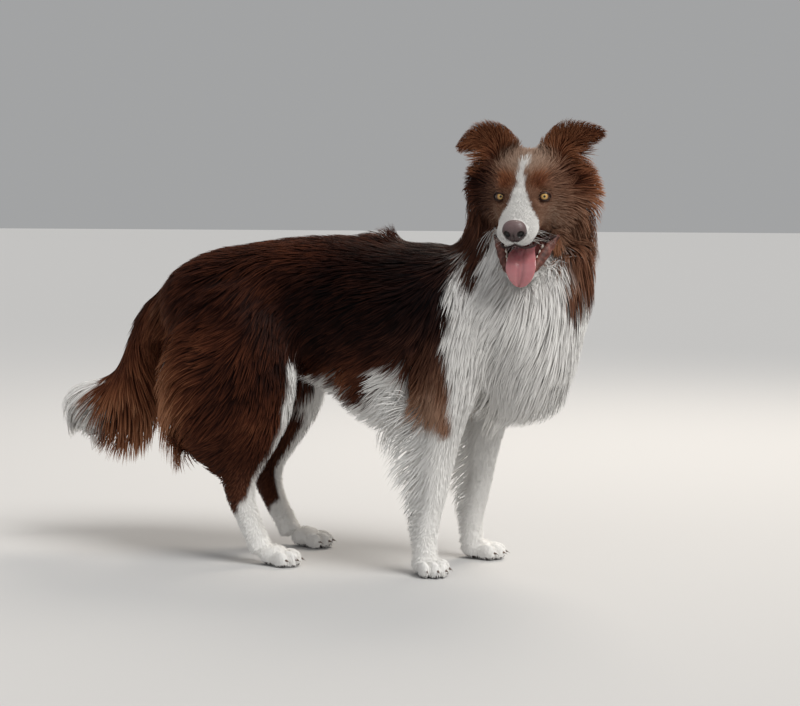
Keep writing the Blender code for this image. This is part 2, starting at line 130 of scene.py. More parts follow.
def meshFrom(name, verts, faces):
    mesh = bpy.data.meshes.new(name)
    mesh.from_pydata([tuple(v) for v in verts], [], [tuple(f) for f in faces])
    return mesh


def addStep(obj, kind, **values):
    step = obj.modifiers.new(kind.lower(), kind)
    for key, value in values.items():
        setattr(step, key, value)


def settle(obj):
    # turns an object's modifiers into plain mesh
    bpy.context.view_layer.update()
    graph = bpy.context.evaluated_depsgraph_get()
    mesh = bpy.data.meshes.new_from_object(obj.evaluated_get(graph))
    obj.modifiers.clear()
    obj.data = mesh
    return obj


def arrayOf(items, key, width, kind=np.float32):
    found = np.empty(len(items) * width, kind)
    items.foreach_get(key, found)
    return found.reshape(-1, width) if width > 1 else found


def spotsOf(mesh, key="co"):
    return arrayOf(mesh.vertices, key, 3).astype(float)


def surfaceOf(mesh):
    # what rays and nearest points are found on
    work = bmesh.new()
    work.from_mesh(mesh)
    tree = BVHTree.FromBMesh(work)
    work.free()
    return tree


def pointTree(points):
    tree = KDTree(len(points))
    for i, point in enumerate(points):
        tree.insert(point, i)
    tree.balance()
    return tree


def smoothOver(mesh, values, rounds):
    # evens out values over the neighbours of each point
    ends = arrayOf(mesh.edges, "vertices", 2, np.int32)
    count = len(mesh.vertices)
    near = np.bincount(ends.ravel(), minlength=count)
    values = values.reshape(count, -1).astype(float)
    for _ in range(rounds):
        total = values.copy()
        for k in range(values.shape[1]):
            total[:, k] += np.bincount(ends[:, 0], weights=values[ends[:, 1], k], minlength=count)
            total[:, k] += np.bincount(ends[:, 1], weights=values[ends[:, 0], k], minlength=count)
        values = total / (near + 1)[:, None]
    return values if values.shape[1] > 1 else values[:, 0]


def addAttribute(mesh, name, values, where="POINT"):
    values = np.asarray(values, np.float32)
    vectors = values.ndim == 2 and values.shape[1] == 3
    kind, key = ("FLOAT_VECTOR", "vector") if vectors else ("FLOAT", "value")
    mesh.attributes.new(name, kind, where).data.foreach_set(key, values.ravel())


def turnOutward(mesh):
    work = bmesh.new()
    work.from_mesh(mesh)
    bmesh.ops.recalc_face_normals(work, faces=work.faces)
    work.to_mesh(mesh)
    work.free()


def smoothRows(rows, steps):
    # rows of numbers along a smooth curve through the given rows
    rows = np.array(rows, float)
    padded = np.vstack((rows[:1], rows, rows[-1:]))
    t = np.linspace(0, 1, steps, endpoint=False)[:, None]
    found = []
    for a, b, c, d in zip(padded, padded[1:], padded[2:], padded[3:]):
        curve = 2 * b + (c - a) * t + (2 * a - 5 * b + 4 * c - d) * t ** 2
        found.append(0.5 * (curve + (3 * b - a - 3 * c + d) * t ** 3))
    return np.vstack(found + [rows[-1:]])


def tubeLine(rows, facing, place, steps=6):
    # the middle line of a tube, with its own three ways at each sample
    rows = smoothRows(rows, steps)
    middles = place(rows[:, :3])
    along = unit(np.gradient(middles, axis=0))
    facing = np.asarray(facing, float)
    front = unit(facing - along * (along @ facing)[:, None])
    side = np.cross(front, along)
    return {"rows": rows, "middles": middles, "along": along, "front": front, "side": side}


def ringFaces(count, sides, loop=False):
    # quads between closed rings of points, and from the last ring to the first one in a loop
    faces = []
    for i in range(count if loop else count - 1):
        low, high = i * sides, (i + 1) % count * sides
        for k in range(sides):
            j = (k + 1) % sides
            faces.append((low + k, low + j, high + j, high + k))
    return faces


def tubeShape(line, sides=32):
    # a closed tube: each row is left, forward, up, half width, reach to its front and to its back
    turn = math.tau * np.arange(sides) / sides
    rows, middles = line["rows"], line["middles"]
    wide = rows[:, 3:4] * np.cos(turn)
    deep = np.where(np.sin(turn) > 0, rows[:, 4:5], rows[:, 5:6]) * np.sin(turn)
    rings = middles[:, None] + line["side"][:, None] * wide[..., None]
    rings = rings + line["front"][:, None] * deep[..., None]
    caps = []
    for end, sign in ((0, -1), (-1, 1)):
        caps.append(rings[end].mean(axis=0) + line["along"][end] * sign * 0.5 * rows[end, 3:6].min())
    verts = np.vstack((rings.reshape(-1, 3), caps))
    end = len(rows) * sides
    last = end - sides
    faces = ringFaces(len(rows), sides)
    for k in range(sides):
        j = (k + 1) % sides
        faces.append((j, k, end))
        faces.append((last + k, last + j, end + 1))
    return verts, faces


def ballShape(place, radii, axes=None, segments=20, rings=12):
    # an ellipsoid; its axes are the rows of a matrix
    verts = [(0, 0, 1)]
    for i in range(1, rings):
        high = math.pi * i / rings
        for k in range(segments):
            turn = math.tau * k / segments
            verts.append((math.sin(high) * math.cos(turn), math.sin(high) * math.sin(turn), math.cos(high)))
    verts.append((0, 0, -1))
    faces = []
    for k in range(segments):
        j = (k + 1) % segments
        faces.append((0, 1 + k, 1 + j))
        for i in range(rings - 2):
            a, b = 1 + i * segments, 1 + (i + 1) * segments
            faces.append((a + k, b + k, b + j, a + j))
        a = 1 + (rings - 2) * segments
        faces.append((a + k, len(verts) - 1, a + j))
    verts = np.array(verts) * radii
    axes = np.eye(3) if axes is None else axes
    return place + verts @ axes, faces


def joinShapes(shapes):
    verts, faces, count = [], [], 0
    for points, polygons in shapes:
        verts.append(points)
        faces.extend([tuple(i + count for i in polygon) for polygon in polygons])
        count += len(points)
    return np.vstack(verts), faces


# The skin: where the flesh lies under the coat.
# Each row is left, forward, up, half width, reach to the front (or upper) side and to the back.

trunkRows = [
    (0, -0.405, 0.412, 0.044, 0.038, 0.048),
    (0, -0.375, 0.415, 0.068, 0.056, 0.072),
    (0, -0.320, 0.422, 0.086, 0.074, 0.088),
    (0, -0.250, 0.425, 0.088, 0.080, 0.084),
    (0, -0.170, 0.427, 0.082, 0.090, 0.076),
    (0, -0.087, 0.420, 0.093, 0.098, 0.102),
    (0, -0.010, 0.410, 0.106, 0.098, 0.132),
    (0, 0.060, 0.400, 0.110, 0.106, 0.130),
    (0, 0.130, 0.393, 0.104, 0.102, 0.114),
    (0, 0.190, 0.378, 0.086, 0.080, 0.088),
    (0, 0.228, 0.362, 0.054, 0.052, 0.056),
]
neckRows = [
    (0.006, 0.214, 0.622, 0.044, 0.046, 0.050),
    (0.004, 0.202, 0.570, 0.052, 0.062, 0.064),
    (0.004, 0.188, 0.510, 0.062, 0.074, 0.074),
    (0.000, 0.172, 0.455, 0.080, 0.090, 0.082),
    (0, 0.165, 0.400, 0.092, 0.091, 0.088),
    (0, 0.160, 0.345, 0.084, 0.086, 0.085),
    (0, 0.155, 0.300, 0.060, 0.060, 0.060),
]
tailRows = [
    (0, -0.370, 0.452, 0.028, 0.028, 0.028),
    (0, -0.412, 0.436, 0.023, 0.023, 0.023),
    (0, -0.444, 0.400, 0.020, 0.020, 0.020),
    (0, -0.464, 0.355, 0.018, 0.018, 0.018),
    (0, -0.478, 0.316, 0.016, 0.016, 0.016),
    (0, -0.496, 0.287, 0.014, 0.014, 0.014),
    (0, -0.522, 0.270, 0.012, 0.012, 0.012),
    (0, -0.552, 0.262, 0.010, 0.010, 0.010),
    (0, -0.578, 0.259, 0.006, 0.006, 0.006),
]
forelegRows = [
    (0.070, 0.118, 0.400, 0.045, 0.055, 0.060),
    (0.084, 0.110, 0.330, 0.044, 0.048, 0.052),
    (0.090, 0.106, 0.272, 0.034, 0.034, 0.040),
    (0.089, 0.099, 0.225, 0.027, 0.029, 0.029),
    (0.086, 0.092, 0.180, 0.022, 0.023, 0.023),
    (0.084, 0.087, 0.135, 0.0185, 0.019, 0.020),
    (0.083, 0.079, 0.095, 0.0170, 0.0175, 0.019),
    (0.083, 0.073, 0.060, 0.0175, 0.0160, 0.018),
    (0.083, 0.073, 0.024, 0.0185, 0.0180, 0.018),
]
hindlegRows = [
    (0.062, -0.275, 0.435, 0.045, 0.070, 0.075),
    (0.078, -0.252, 0.370, 0.050, 0.088, 0.085),
    (0.085, -0.240, 0.310, 0.046, 0.083, 0.080),
    (0.089, -0.236, 0.260, 0.038, 0.070, 0.066),
    (0.088, -0.240, 0.215, 0.030, 0.052, 0.046),
    (0.088, -0.246, 0.178, 0.023, 0.035, 0.033),
    (0.087, -0.248, 0.145, 0.0185, 0.022, 0.025),
    (0.087, -0.243, 0.110, 0.0170, 0.018, 0.021),
    (0.087, -0.233, 0.080, 0.0165, 0.017, 0.018),
    (0.088, -0.221, 0.052, 0.0170, 0.017, 0.017),
    (0.088, -0.208, 0.024, 0.0180, 0.018, 0.017),
]
# The rows of the head are left, ahead and up of the point between the eyes.
headRows = [
    (0, -0.128, -0.012, 0.040, 0.034, 0.045),
    (0, -0.100, -0.010, 0.057, 0.048, 0.060),
    (0, -0.068, -0.012, 0.063, 0.060, 0.066),
    (0, -0.036, -0.014, 0.060, 0.061, 0.062),
    (0, -0.012, -0.016, 0.053, 0.050, 0.052),
    (0, 0.008, -0.019, 0.043, 0.036, 0.041),
    (0, 0.024, -0.027, 0.035, 0.027, 0.033),
    (0, 0.045, -0.034, 0.0305, 0.0245, 0.0260),
    (0, 0.067, -0.0385, 0.0290, 0.0200, 0.0220),
    (0, 0.079, -0.0400, 0.0240, 0.0160, 0.0190),
]
jawRows = [
    (0, -0.062, -0.072, 0.046, 0.030, 0.030),
    (0, -0.030, -0.081, 0.040, 0.018, 0.022),
    (0, 0.000, -0.094, 0.033, 0.011, 0.016),
    (0, 0.028, -0.104, 0.026, 0.008, 0.014),
    (0, 0.050, -0.110, 0.0205, 0.007, 0.012),
    (0, 0.061, -0.113, 0.0130, 0.005, 0.008),
]
earRows = {
    "right": [
        (-0.044, -0.060, 0.018, 0.022, 0.0060, 0.0060),
        (-0.046, -0.073, 0.050, 0.024, 0.0032, 0.0032),
        (-0.055, -0.080, 0.066, 0.020, 0.0024, 0.0024),
        (-0.077, -0.080, 0.070, 0.016, 0.0022, 0.0022),
        (-0.097, -0.076, 0.063, 0.010, 0.0020, 0.0020),
        (-0.110, -0.073, 0.056, 0.004, 0.0018, 0.0018),
    ],
    "left": [
        (0.046, -0.060, 0.018, 0.022, 0.0060, 0.0060),
        (0.049, -0.073, 0.051, 0.024, 0.0032, 0.0032),
        (0.060, -0.080, 0.067, 0.020, 0.0024, 0.0024),
        (0.083, -0.080, 0.072, 0.015, 0.0022, 0.0022),
        (0.102, -0.076, 0.076, 0.010, 0.0020, 0.0020),
        (0.115, -0.073, 0.078, 0.004, 0.0018, 0.0018),
    ],
}
stagger = {  # how far further forward the left leg's rows stand than the right leg's
    "foreleg": (0.010, 0.014, 0.016, 0.019, 0.020, 0.022, 0.024, 0.024, 0.024),
    "hindleg": (-0.010, -0.018, -0.022, -0.024, -0.026, -0.026, -0.026, -0.027, -0.027, -0.026, -0.024),
}
paws = {  # left, forward, and the degrees that each turns outward
    "foreright": (-0.083, 0.074, 38),
    "foreleft": (0.083, 0.106, 2),
    "hindright": (-0.088, -0.185, 8),
    "hindleft": (0.088, -0.202, -4),
}
toes = {
    "spread": (-0.0187, -0.0065, 0.0065, 0.0187),
    "leads": (0.0, 0.011, 0.011, 0.0),
    "reach": 0.0215,
    "fan": 9.6,
    "size": (0.0074, 0.0165, 0.0140),
    "height": 0.0125,
}
skinFinish = {
    "voxel": 0.0016,
    "keep": 0.20,  # share of the faces that thinning leaves
    "inside": 0.0015,  # least depth below the coat's outline
    "envelopeVoxel": 0.004,
}
fleshNodes = ["head", "jaw", "neck", "trunk", "tail", "ear_left", "ear_right"]
fleshNodes += [f"{part}_{hand}" for part in ("foreleg", "forepaw", "hindleg", "hindpaw")
               for hand in ("left", "right")]


def legRows(part, rows, hand):
    side = -1 if hand == "right" else 1
    leads = (0,) * len(rows) if hand == "right" else stagger[part]
    return [(side * l, f + lead, *rest) for (l, f, *rest), lead in zip(rows, leads)]


upward = np.array((0, 0, 1.0))
forward = np.array((0, -1.0, 0))
bodyLines = {
    "trunk": tubeLine(trunkRows, upward, fromDog),
    "neck": tubeLine(neckRows, forward, fromDog),
    "tail": tubeLine(tailRows, (0, 1, 1), fromDog),
    "head": tubeLine(headRows, headUp, fromHead),
    "jaw": tubeLine(jawRows, headUp, fromHead),
}
for hand in ("right", "left"):
    bodyLines["foreleg_" + hand] = tubeLine(legRows("foreleg", forelegRows, hand), forward, fromDog)
    bodyLines["hindleg_" + hand] = tubeLine(legRows("hindleg", hindlegRows, hand), forward, fromDog)
    bodyLines["ear_" + hand] = tubeLine(earRows[hand], headAhead, fromHead)


def toePlaces(left, ahead, degrees):
    # the middle of each toe and the way it points, from the outer left one
    turn = math.copysign(math.radians(degrees), left * degrees)
    found = []
    for aside, lead in zip(toes["spread"], toes["leads"]):
        offset = np.array((aside, -toes["reach"] - lead, 0))
        c, s = math.cos(turn), math.sin(turn)
        offset = np.array((c * offset[0] - s * offset[1], s * offset[0] + c * offset[1], 0))
        angle = turn + aside / 0.052 * 0.5
        found.append((fromDog((left, ahead, toes["height"])) + offset, angle))
    return turn, found


def turned(angle):
    # axes turned about the vertical, as rows
    c, s = math.cos(angle), math.sin(angle)
    return np.array(((c, s, 0), (-s, c, 0), (0, 0, 1)))


faceBalls = [  # left, ahead, up, then the half sizes: brows, cheeks, lip pads, mouth corners, chin
    (0.029, -0.006, 0.015, 0.016, 0.014, 0.009),
    (0.044, -0.034, -0.030, 0.020, 0.034, 0.028),
    (0.017, 0.064, -0.049, 0.0150, 0.0210, 0.0125),
    (0.030, 0.012, -0.045, 0.0130, 0.0260, 0.0160),
    (0.044, -0.014, -0.070, 0.0080, 0.0150, 0.0140),
    (0.006, 0.054, -0.113, 0.0100, 0.0090, 0.0080),
]
eyes = {
    "radius": 0.0105,
    "lid": 0.0016,  # thickness of the lids over the eyeball
    "outward": 20,  # degrees that each lid opening faces outward
    "lift": 11,  # degrees that each opening faces up
    "opening": (0.0090, 0.0053),
    "tilt": 8,
    "gap": 0.0003,
    "gaze": {"eye_right": (79, -1), "eye_left": (70, -1)},  # degrees to the dog's right, and up
}


def skinShapes():
    shapes = [tubeShape(line) for line in bodyLines.values()]
    for left, ahead, degrees in paws.values():
        turn, places = toePlaces(left, ahead, degrees)
        shapes.append(ballShape(fromDog((left, ahead, 0.0160)), (0.0210, 0.027, 0.0170), turned(turn)))
        for place, angle in places:
            shapes.append(ballShape(place, toes["size"], turned(angle)))
    for left, ahead, up, *radii in faceBalls:
        for side in (-1, 1):
            shapes.append(ballShape(fromHead((side * left, ahead, up)), radii, headAxes))
    for side, node in ((-1, "eye_right"), (1, "eye_left")):
        shapes.append(ballShape(middle(node), (eyes["radius"] + eyes["lid"],) * 3))
    return shapes


def lidFrame(node):
    # the middle of an eye, and the ways outward through its lids, toward the outer corner and up
    side = 1 if node == "eye_left" else -1
    turn = math.radians(eyes["outward"])
    outward = headAhead * math.cos(turn) + headLeft * side * math.sin(turn)
    outward = unit(outward + headUp * math.tan(math.radians(eyes["lift"])))
    aside = unit(headLeft * side - outward * (headLeft * side @ outward))
    up = unit(headUp - outward * (headUp @ outward))
    tilt = math.radians(eyes["tilt"])
    aside, up = aside * math.cos(tilt) + up * math.sin(tilt), up * math.cos(tilt) - aside * math.sin(tilt)
    return middle(node), outward, aside, up


def lidOutline(count):
    # the almond between the lids, as offsets toward the outer corner and up
    turn = math.tau * np.arange(count) / count
    wide, high = eyes["opening"]
    lift = np.where(np.sin(turn) > 0, 1.0, 0.82)
    aside = wide * np.cos(turn)
    up = high * np.sin(turn) * np.abs(np.sin(turn)) ** 0.25 * lift
    return np.stack((aside, up - 0.0006 * np.cos(turn)), axis=1)


def eyeCutter(node):
    # the hollow for an eyeball, and the almond that opens it
    place, outward, aside, up = lidFrame(node)
    outline = lidOutline(40)
    rings = []
    for depth, grow in ((0.003, 0.92), (0.0085, 1.0), (0.0120, 1.03), (0.0150, 1.15), (0.035, 1.6)):
        rings.append(place + outward * depth + (outline[:, :1] * aside + outline[:, 1:] * up) * grow)
    count = len(outline)
    faces = [tuple(range(count))[::-1], tuple(range(4 * count, 5 * count))] + ringFaces(5, count)
    ball = ballShape(place, (eyes["radius"] + eyes["gap"],) * 3, None, 40, 24)
    return [(np.array(rings).reshape(-1, 3), faces), ball]


def cut(obj, shape):
    mesh = meshFrom("tool", *shape)
    turnOutward(mesh)
    tool = newObject("tool", mesh)
    addStep(obj, "BOOLEAN", operation="DIFFERENCE", object=tool, solver="MANIFOLD")
    settle(obj)
    bpy.data.objects.remove(tool, do_unlink=True)


def coatEnvelope():
    # the outline of the coat, from the frame's own pieces of flesh
    work = bmesh.new()
    for node in fleshNodes:
        work.from_mesh(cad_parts[node].data)
    bmesh.ops.remove_doubles(work, verts=work.verts, dist=1e-5)
    mesh = bpy.data.meshes.new("envelope")
    work.to_mesh(mesh)
    work.free()
    obj = newObject("envelope", mesh)
    addStep(obj, "REMESH", mode="VOXEL", voxel_size=skinFinish["envelopeVoxel"])
    settle(obj)
    tree, points = surfaceOf(obj.data), spotsOf(obj.data)
    normals = unit(smoothOver(obj.data, spotsOf(obj.data, "normal"), 8))
    bpy.data.objects.remove(obj, do_unlink=True)
    return tree, pointTree(points), normals


def makeSkin(envelope):
    mesh = meshFrom("skin", *joinShapes(skinShapes()))
    turnOutward(mesh)
    skin = newObject("skin", mesh)
    addStep(skin, "REMESH", mode="VOXEL", voxel_size=skinFinish["voxel"])
    addStep(skin, "SMOOTH", factor=0.5, iterations=6)
    addStep(skin, "DECIMATE", ratio=skinFinish["keep"])
    settle(skin)
    report(f"flesh joined, {len(skin.data.polygons)} faces")
    points = spotsOf(skin.data)
    moved = 0
    for i, point in enumerate(points):
        spot, normal, _, _ = envelope.find_nearest(Vector(point), 0.05)
        if spot and -(Vector(point) - spot).dot(normal) < skinFinish["inside"]:
            points[i] = spot - normal * skinFinish["inside"]
            moved += 1
    skin.data.vertices.foreach_set("co", points.ravel())
    report(f"{moved} points kept inside the coat's outline")
    for node in ("eye_right", "eye_left"):
        for shape in eyeCutter(node):
            cut(skin, shape)
    skin.data.materials.clear()
    skin.data.shade_smooth()
    report(f"skin, {len(skin.data.polygons)} faces")
    return skin


envelope, outlineTree, outlineWays = coatEnvelope()
report("coat outline read")
skin = makeSkin(envelope)


def readTube(line, points):
    # each point's nearest sample of a tube, its height over the tube and its place round it
    best = np.full(len(points), np.inf)
    nearest = np.zeros(len(points), int)
    for i, spot in enumerate(line["middles"]):
        far = ((points - spot) ** 2).sum(axis=1)
        closer = far < best
        best[closer] = far[closer]
        nearest[closer] = i
    rows = line["rows"][nearest]
    offset = points - line["middles"][nearest]
    front = (offset * line["front"][nearest]).sum(axis=1)
    side = (offset * line["side"][nearest]).sum(axis=1)
    reach = np.where(front > 0, rows[:, 4], rows[:, 5])
    around = np.hypot(front / reach, side / rows[:, 3])
    high = np.hypot(front, side) * (1 - 1 / np.maximum(around, 1e-3))
    past = (offset * line["along"][nearest]).sum(axis=1)
    past = np.where(nearest == 0, -past, np.where(nearest == len(line["rows"]) - 1, past, 0))
    high = np.where(past > 0.004, np.hypot(np.maximum(high, 0), past), high)
    facing = front / reach / np.maximum(around, 1e-3)
    return nearest, high, facing, np.sign(side)


undercoat = {  # depth of loose hair left over the fluffy undercoat, and the share of any further depth
    "trunk": (0.006, 0.18),
    "neck": (0.006, 0.22),
    "head": (0.005, 0.28),
    "foreleg": (0.0035, 0.15),
    "hindleg": (0.007, 0.28),
    "tail": (0.009, 0.38),
}


def rayDepth(tree, points, ways, most, start=0.0):
    found = np.full(len(points), most)
    for i, (point, way) in enumerate(zip(points + ways * start, ways)):
        far = tree.ray_cast(Vector(point), Vector(way), most)[3]
        if far is not None:
            found[i] = far
    return found


def raiseSkin():
    # fills the skin out toward the coat's outline, where the undercoat is thick
    mesh = skin.data
    points = spotsOf(mesh)
    normals = unit(smoothOver(mesh, spotsOf(mesh, "normal"), 12))
    part = nearestPart(points)
    depth = rayDepth(envelope, points, normals, 0.12)
    own = rayDepth(surfaceOf(mesh), points, normals, 0.12, 0.003)
    rise = np.zeros(len(points))
    for name, (left, share) in undercoat.items():
        here = np.char.startswith(part, name)
        rise[here] = (np.maximum(depth - left, 0) * (1 - share))[here]
    for hand in ("right", "left"):
        here = part == "foreleg_" + hand
        facing = readTube(bodyLines["foreleg_" + hand], points[here])[2]
        rise[here] *= smoothstep(-0.55, -0.05, facing) * smoothstep(0.05, 0.07, points[here, 2])
    onFace = (part == "head") & (toHead(points)[:, 1] > -0.055)
    rise[onFace] = 0
    rise = np.minimum(rise, 0.4 * own)
    rise = smoothOver(mesh, rise, 10)
    points += normals * np.minimum(rise, np.maximum(depth - 0.003, 0))[:, None]
    mesh.vertices.foreach_set("co", points.ravel())
    mesh.update()


def nearestPart(points):
    # the part of the body that each point is nearest to
    heights = [np.abs(readTube(line, points)[1]) for line in bodyLines.values()]
    return np.array(list(bodyLines))[np.argmin(heights, axis=0)]


def unwrap(obj):
    # an unwrap of the skin's own shape
    bpy.context.view_layer.objects.active = obj
    obj.select_set(True)
    bpy.ops.object.mode_set(mode="EDIT")
    bpy.ops.mesh.select_all(action="SELECT")
    bpy.ops.uv.smart_project(angle_limit=math.radians(66), island_margin=0.002)
    bpy.ops.object.mode_set(mode="OBJECT")
    obj.select_set(False)


raiseSkin()
report("skin filled out")
unwrap(skin)
report("skin unwrapped")


# The lie of the coat, read at every point of the skin.
# Ways are along the part, toward its front (or upper) side and outward, for the front, sides and back.
# Lengths are in mm, for those three, from the part's start to its end.

lie = {
    "trunk": {
        "ways": ((-1, 0, 0), (-0.80, -0.60, 0), (-1, -0.30, 0)),
        "lengths": ((0, 55, 65, 70), (0.25, 42, 50, 55), (0.5, 36, 46, 62), (0.75, 40, 48, 64),
                    (1, 60, 62, 66)),
    },
    "neck": {
        "ways": ((1, 0, 0.05), (1, -0.12, 0.05), (1, -0.35, 0)),
        "lengths": ((0, 62, 62, 42), (0.3, 78, 74, 48), (0.6, 84, 74, 52), (1, 76, 62, 55)),
    },
    "tail": {
        "ways": ((1, 0.10, 0), (0.85, -0.50, 0.15), (0.45, -1, 0)),
        "lengths": ((0, 50, 55, 60), (0.35, 50, 60, 85), (0.6, 55, 68, 105), (0.85, 60, 70, 95),
                    (1, 60, 62, 66)),
    },
    "head": {
        "ways": ((-1, 0, 0.22), (-0.80, -0.62, 0.30), (-0.70, -0.60, 0.30)),
        "lengths": ((0, 36, 58, 52), (0.22, 24, 56, 50), (0.38, 13, 40, 36), (0.50, 7.5, 13, 18),
                    (0.62, 5, 6, 8), (0.8, 3.6, 3.6, 4.2), (1, 2.4, 2.6, 3.2)),
    },
    "jaw": {
        "ways": ((-1, 0, 0), (-0.80, -0.50, 0.20), (-0.75, -0.60, 0)),
        "lengths": ((0, 30, 34, 44), (0.35, 14, 16, 30), (0.7, 6, 6, 13), (1, 4, 4, 6)),
    },
    "ear": {
        "ways": ((1, 0, 0.25), (0.75, 0.10, 0.85), (1, 0, 0.35)),
        "lengths": ((0, 22, 36, 32), (0.3, 18, 30, 25), (0.6, 12, 22, 18), (1, 8, 11, 11)),
    },
    "foreleg": {
        "ways": ((1, 0, 0), (1, -0.18, 0), (0.10, -1, 0)),
        "lengths": ((0, 50, 45, 48), (0.25, 30, 30, 50), (0.38, 15, 17, 78), (0.5, 9, 11, 86),
                    (0.62, 7.5, 9, 76), (0.72, 7, 8, 46), (0.82, 7, 7, 24), (0.9, 7, 7, 12), (1, 7, 8, 10)),
    },
    "hindleg": {
        "ways": ((1, -0.05, 0), (0.72, -0.68, 0), (0.40, -1, 0)),
        "lengths": ((0, 45, 50, 70), (0.2, 36, 46, 100), (0.36, 28, 38, 118), (0.48, 18, 25, 104),
                    (0.57, 12, 14, 56), (0.65, 9, 10, 18), (0.78, 7, 8, 10), (1, 7, 8, 9)),
    },
}


strokes = [  # forward, up, size, way back and way down, of the hair on the haunches and flanks
    (-0.300, 0.345, 0.060, 1.0, 0.25),
    (-0.262, 0.400, 0.045, 1.0, 0.45),
    (-0.235, 0.455, 0.045, 0.55, 1.0),
    (-0.195, 0.310, 0.045, 0.10, 1.0),
    (-0.375, 0.300, 0.045, 0.45, 1.0),
    (-0.320, 0.240, 0.045, 0.80, 0.8),
    (0.130, 0.510, 0.045, 0.05, 1.0),
    (0.125, 0.430, 0.045, 0.10, 1.0),
    (0.125, 0.350, 0.040, 0.20, 1.0),
]


partNames = list(bodyLines)


def onParts(part, *names):
    return np.isin(part, [partNames.index(name) for name in names])


def readCoat(points):
    # the way the hair lies, its length and the part that it grows on
    ways, lengths, total = np.zeros((len(points), 3)), np.zeros(len(points)), np.zeros(len(points))
    readings = {name: readTube(line, points) for name, line in bodyLines.items()}
    heights = np.array([reading[1] for reading in readings.values()])
    lowest = np.abs(heights).min(axis=0)
    for name, (nearest, high, facing, hand) in readings.items():
        line, chart = bodyLines[name], lie[name.split("_")[0]]
        share = np.exp((lowest - np.abs(high)) / 0.008)
        toFront = np.maximum(facing, 0) ** 1.5
        toBack = np.maximum(-facing, 0) ** (3.5 if name.startswith("foreleg") else 1.5)
        toSide = np.maximum(1 - toFront - toBack, 0)
        mix = np.stack((toFront, toSide, toBack), axis=1)
        mix /= mix.sum(axis=1, keepdims=True)
        way = mix @ np.array(chart["ways"], float)
        here = line["along"][nearest] * way[:, :1] + line["front"][nearest] * way[:, 1:2]
        here += line["side"][nearest] * (way[:, 2] * hand)[:, None]
        along = nearest / (len(line["middles"]) - 1)
        rows = np.array(chart["lengths"], float)
        size = np.stack([np.interp(along, rows[:, 0], rows[:, k]) for k in (1, 2, 3)], axis=1)
        ways += here * share[:, None]
        lengths += (size * mix).sum(axis=1) * share
        total += share
    part = np.abs(heights).argmin(axis=0)
    return unit(ways), lengths / total / 1000, part


def lidRing(points, node, edge):
    # how far out from the middle of an eye's opening, with 1 just past its edge, and how far ahead of it
    place, outward, aside, up = lidFrame(node)
    offset = points - place
    wide, high = eyes["opening"]
    return np.hypot(offset @ aside / (wide + edge), offset @ up / (high + edge)), offset @ outward


def bareness(points, normals, part):
    # 1 where no hair grows: the eyes, the nose, the mouth, the soles
    bare = np.zeros(len(points))
    for node in ("eye_right", "eye_left"):
        ring, ahead = lidRing(points, node, 0.0012)
        bare = np.maximum(bare, ((ring < 1) & (ahead > -0.012) & (ahead < 0.03)).astype(float))
    local = toHead(points)
    facing = normals @ headAxes.T
    nose = toHead(middle("nose"))
    away = (local - nose) / (0.0195, 0.018, 0.0165)
    bare = np.maximum(bare, (np.linalg.norm(away, axis=1) < 1).astype(float))
    inMouth = (local[:, 1] > -0.030) & (local[:, 2] < -0.055) & (np.abs(local[:, 0]) < 0.036)
    inMouth &= onParts(part, "head", "jaw")
    palate = inMouth & (facing[:, 2] < -0.45) & (local[:, 2] > -0.074)
    floor = inMouth & (facing[:, 2] > 0.15) & (local[:, 2] < -0.070) & (local[:, 2] > -0.112)
    bare = np.maximum(bare, (palate | floor).astype(float))
    sole = ((points[:, 2] < 0.006) & (normals[:, 2] < -0.5)).astype(float)
    return np.maximum(bare, sole), (palate | floor).astype(float), sole


def lidRim(points):
    # 1 at the bare edges of the lids
    rim = np.zeros(len(points))
    for node in ("eye_right", "eye_left"):
        ring, ahead = lidRing(points, node, 0.0008)
        rim = np.maximum(rim, smoothstep(1.12, 1.0, ring) * (ahead > -0.012))
    return rim


# Markings, the same for the skin and for the coat that grows on it.

markings = {
    "soft": 0.005,
    "ragged": 0.006,
    "bib": (  # up, forward
        (0.20, 0.128), (0.26, 0.128), (0.33, 0.138), (0.42, 0.128), (0.50, 0.122), (0.550, 0.122),
        (0.570, 0.19), (0.60, 0.60)),
    "foreSock": 0.238,
    "hindSock": {"right": (0.128, -0.210), "left": (0.100, -0.235)},
    "tailTip": -0.530,
    "blaze": (  # ahead, half width
        (-0.041, -0.006), (-0.039, -0.002), (-0.033, 0.0042), (-0.026, 0.0056), (-0.009, 0.0046),
        (0.010, 0.0048), (0.018, 0.0076), (0.026, 0.0120), (0.036, 0.0190), (0.043, 0.0260), (0.049, 0.041),
        (0.09, 0.045)),
    "blazeMiddle": (  # ahead, left
        (-0.040, 0.0035), (-0.028, 0.0010), (-0.010, -0.0030), (0.008, -0.0012), (0.03, 0.0)),
    "jawBrown": ((-0.04, -0.085), (0.0, -0.094), (0.02, -0.104), (0.034, -0.108)),  # ahead, lowest
    "elbow": (0.110, 0.092),  # how far back the sock's level edge goes, on the left leg and the right
    "foreFront": (0.098, 0.128),  # the white in front of each foreleg starts here
    "belly": (-0.002, 0.076, 0.338),  # hindmost, foremost and highest
    "stripe": 0.372,  # top of the stripe down the front of each hind leg
    "throat": (0.040, -0.066),  # half width, highest
    "cheekInner": (0.038, 0.050),  # the brown that hangs over the bib: left cheek, right cheek
    "cheekOuter": (0.100, 0.103),
    "cheekLowest": (-0.100, -0.066),
}


def readRows(rows, value):
    rows = np.array(rows)
    return np.interp(value, rows[:, 0], rows[:, 1])


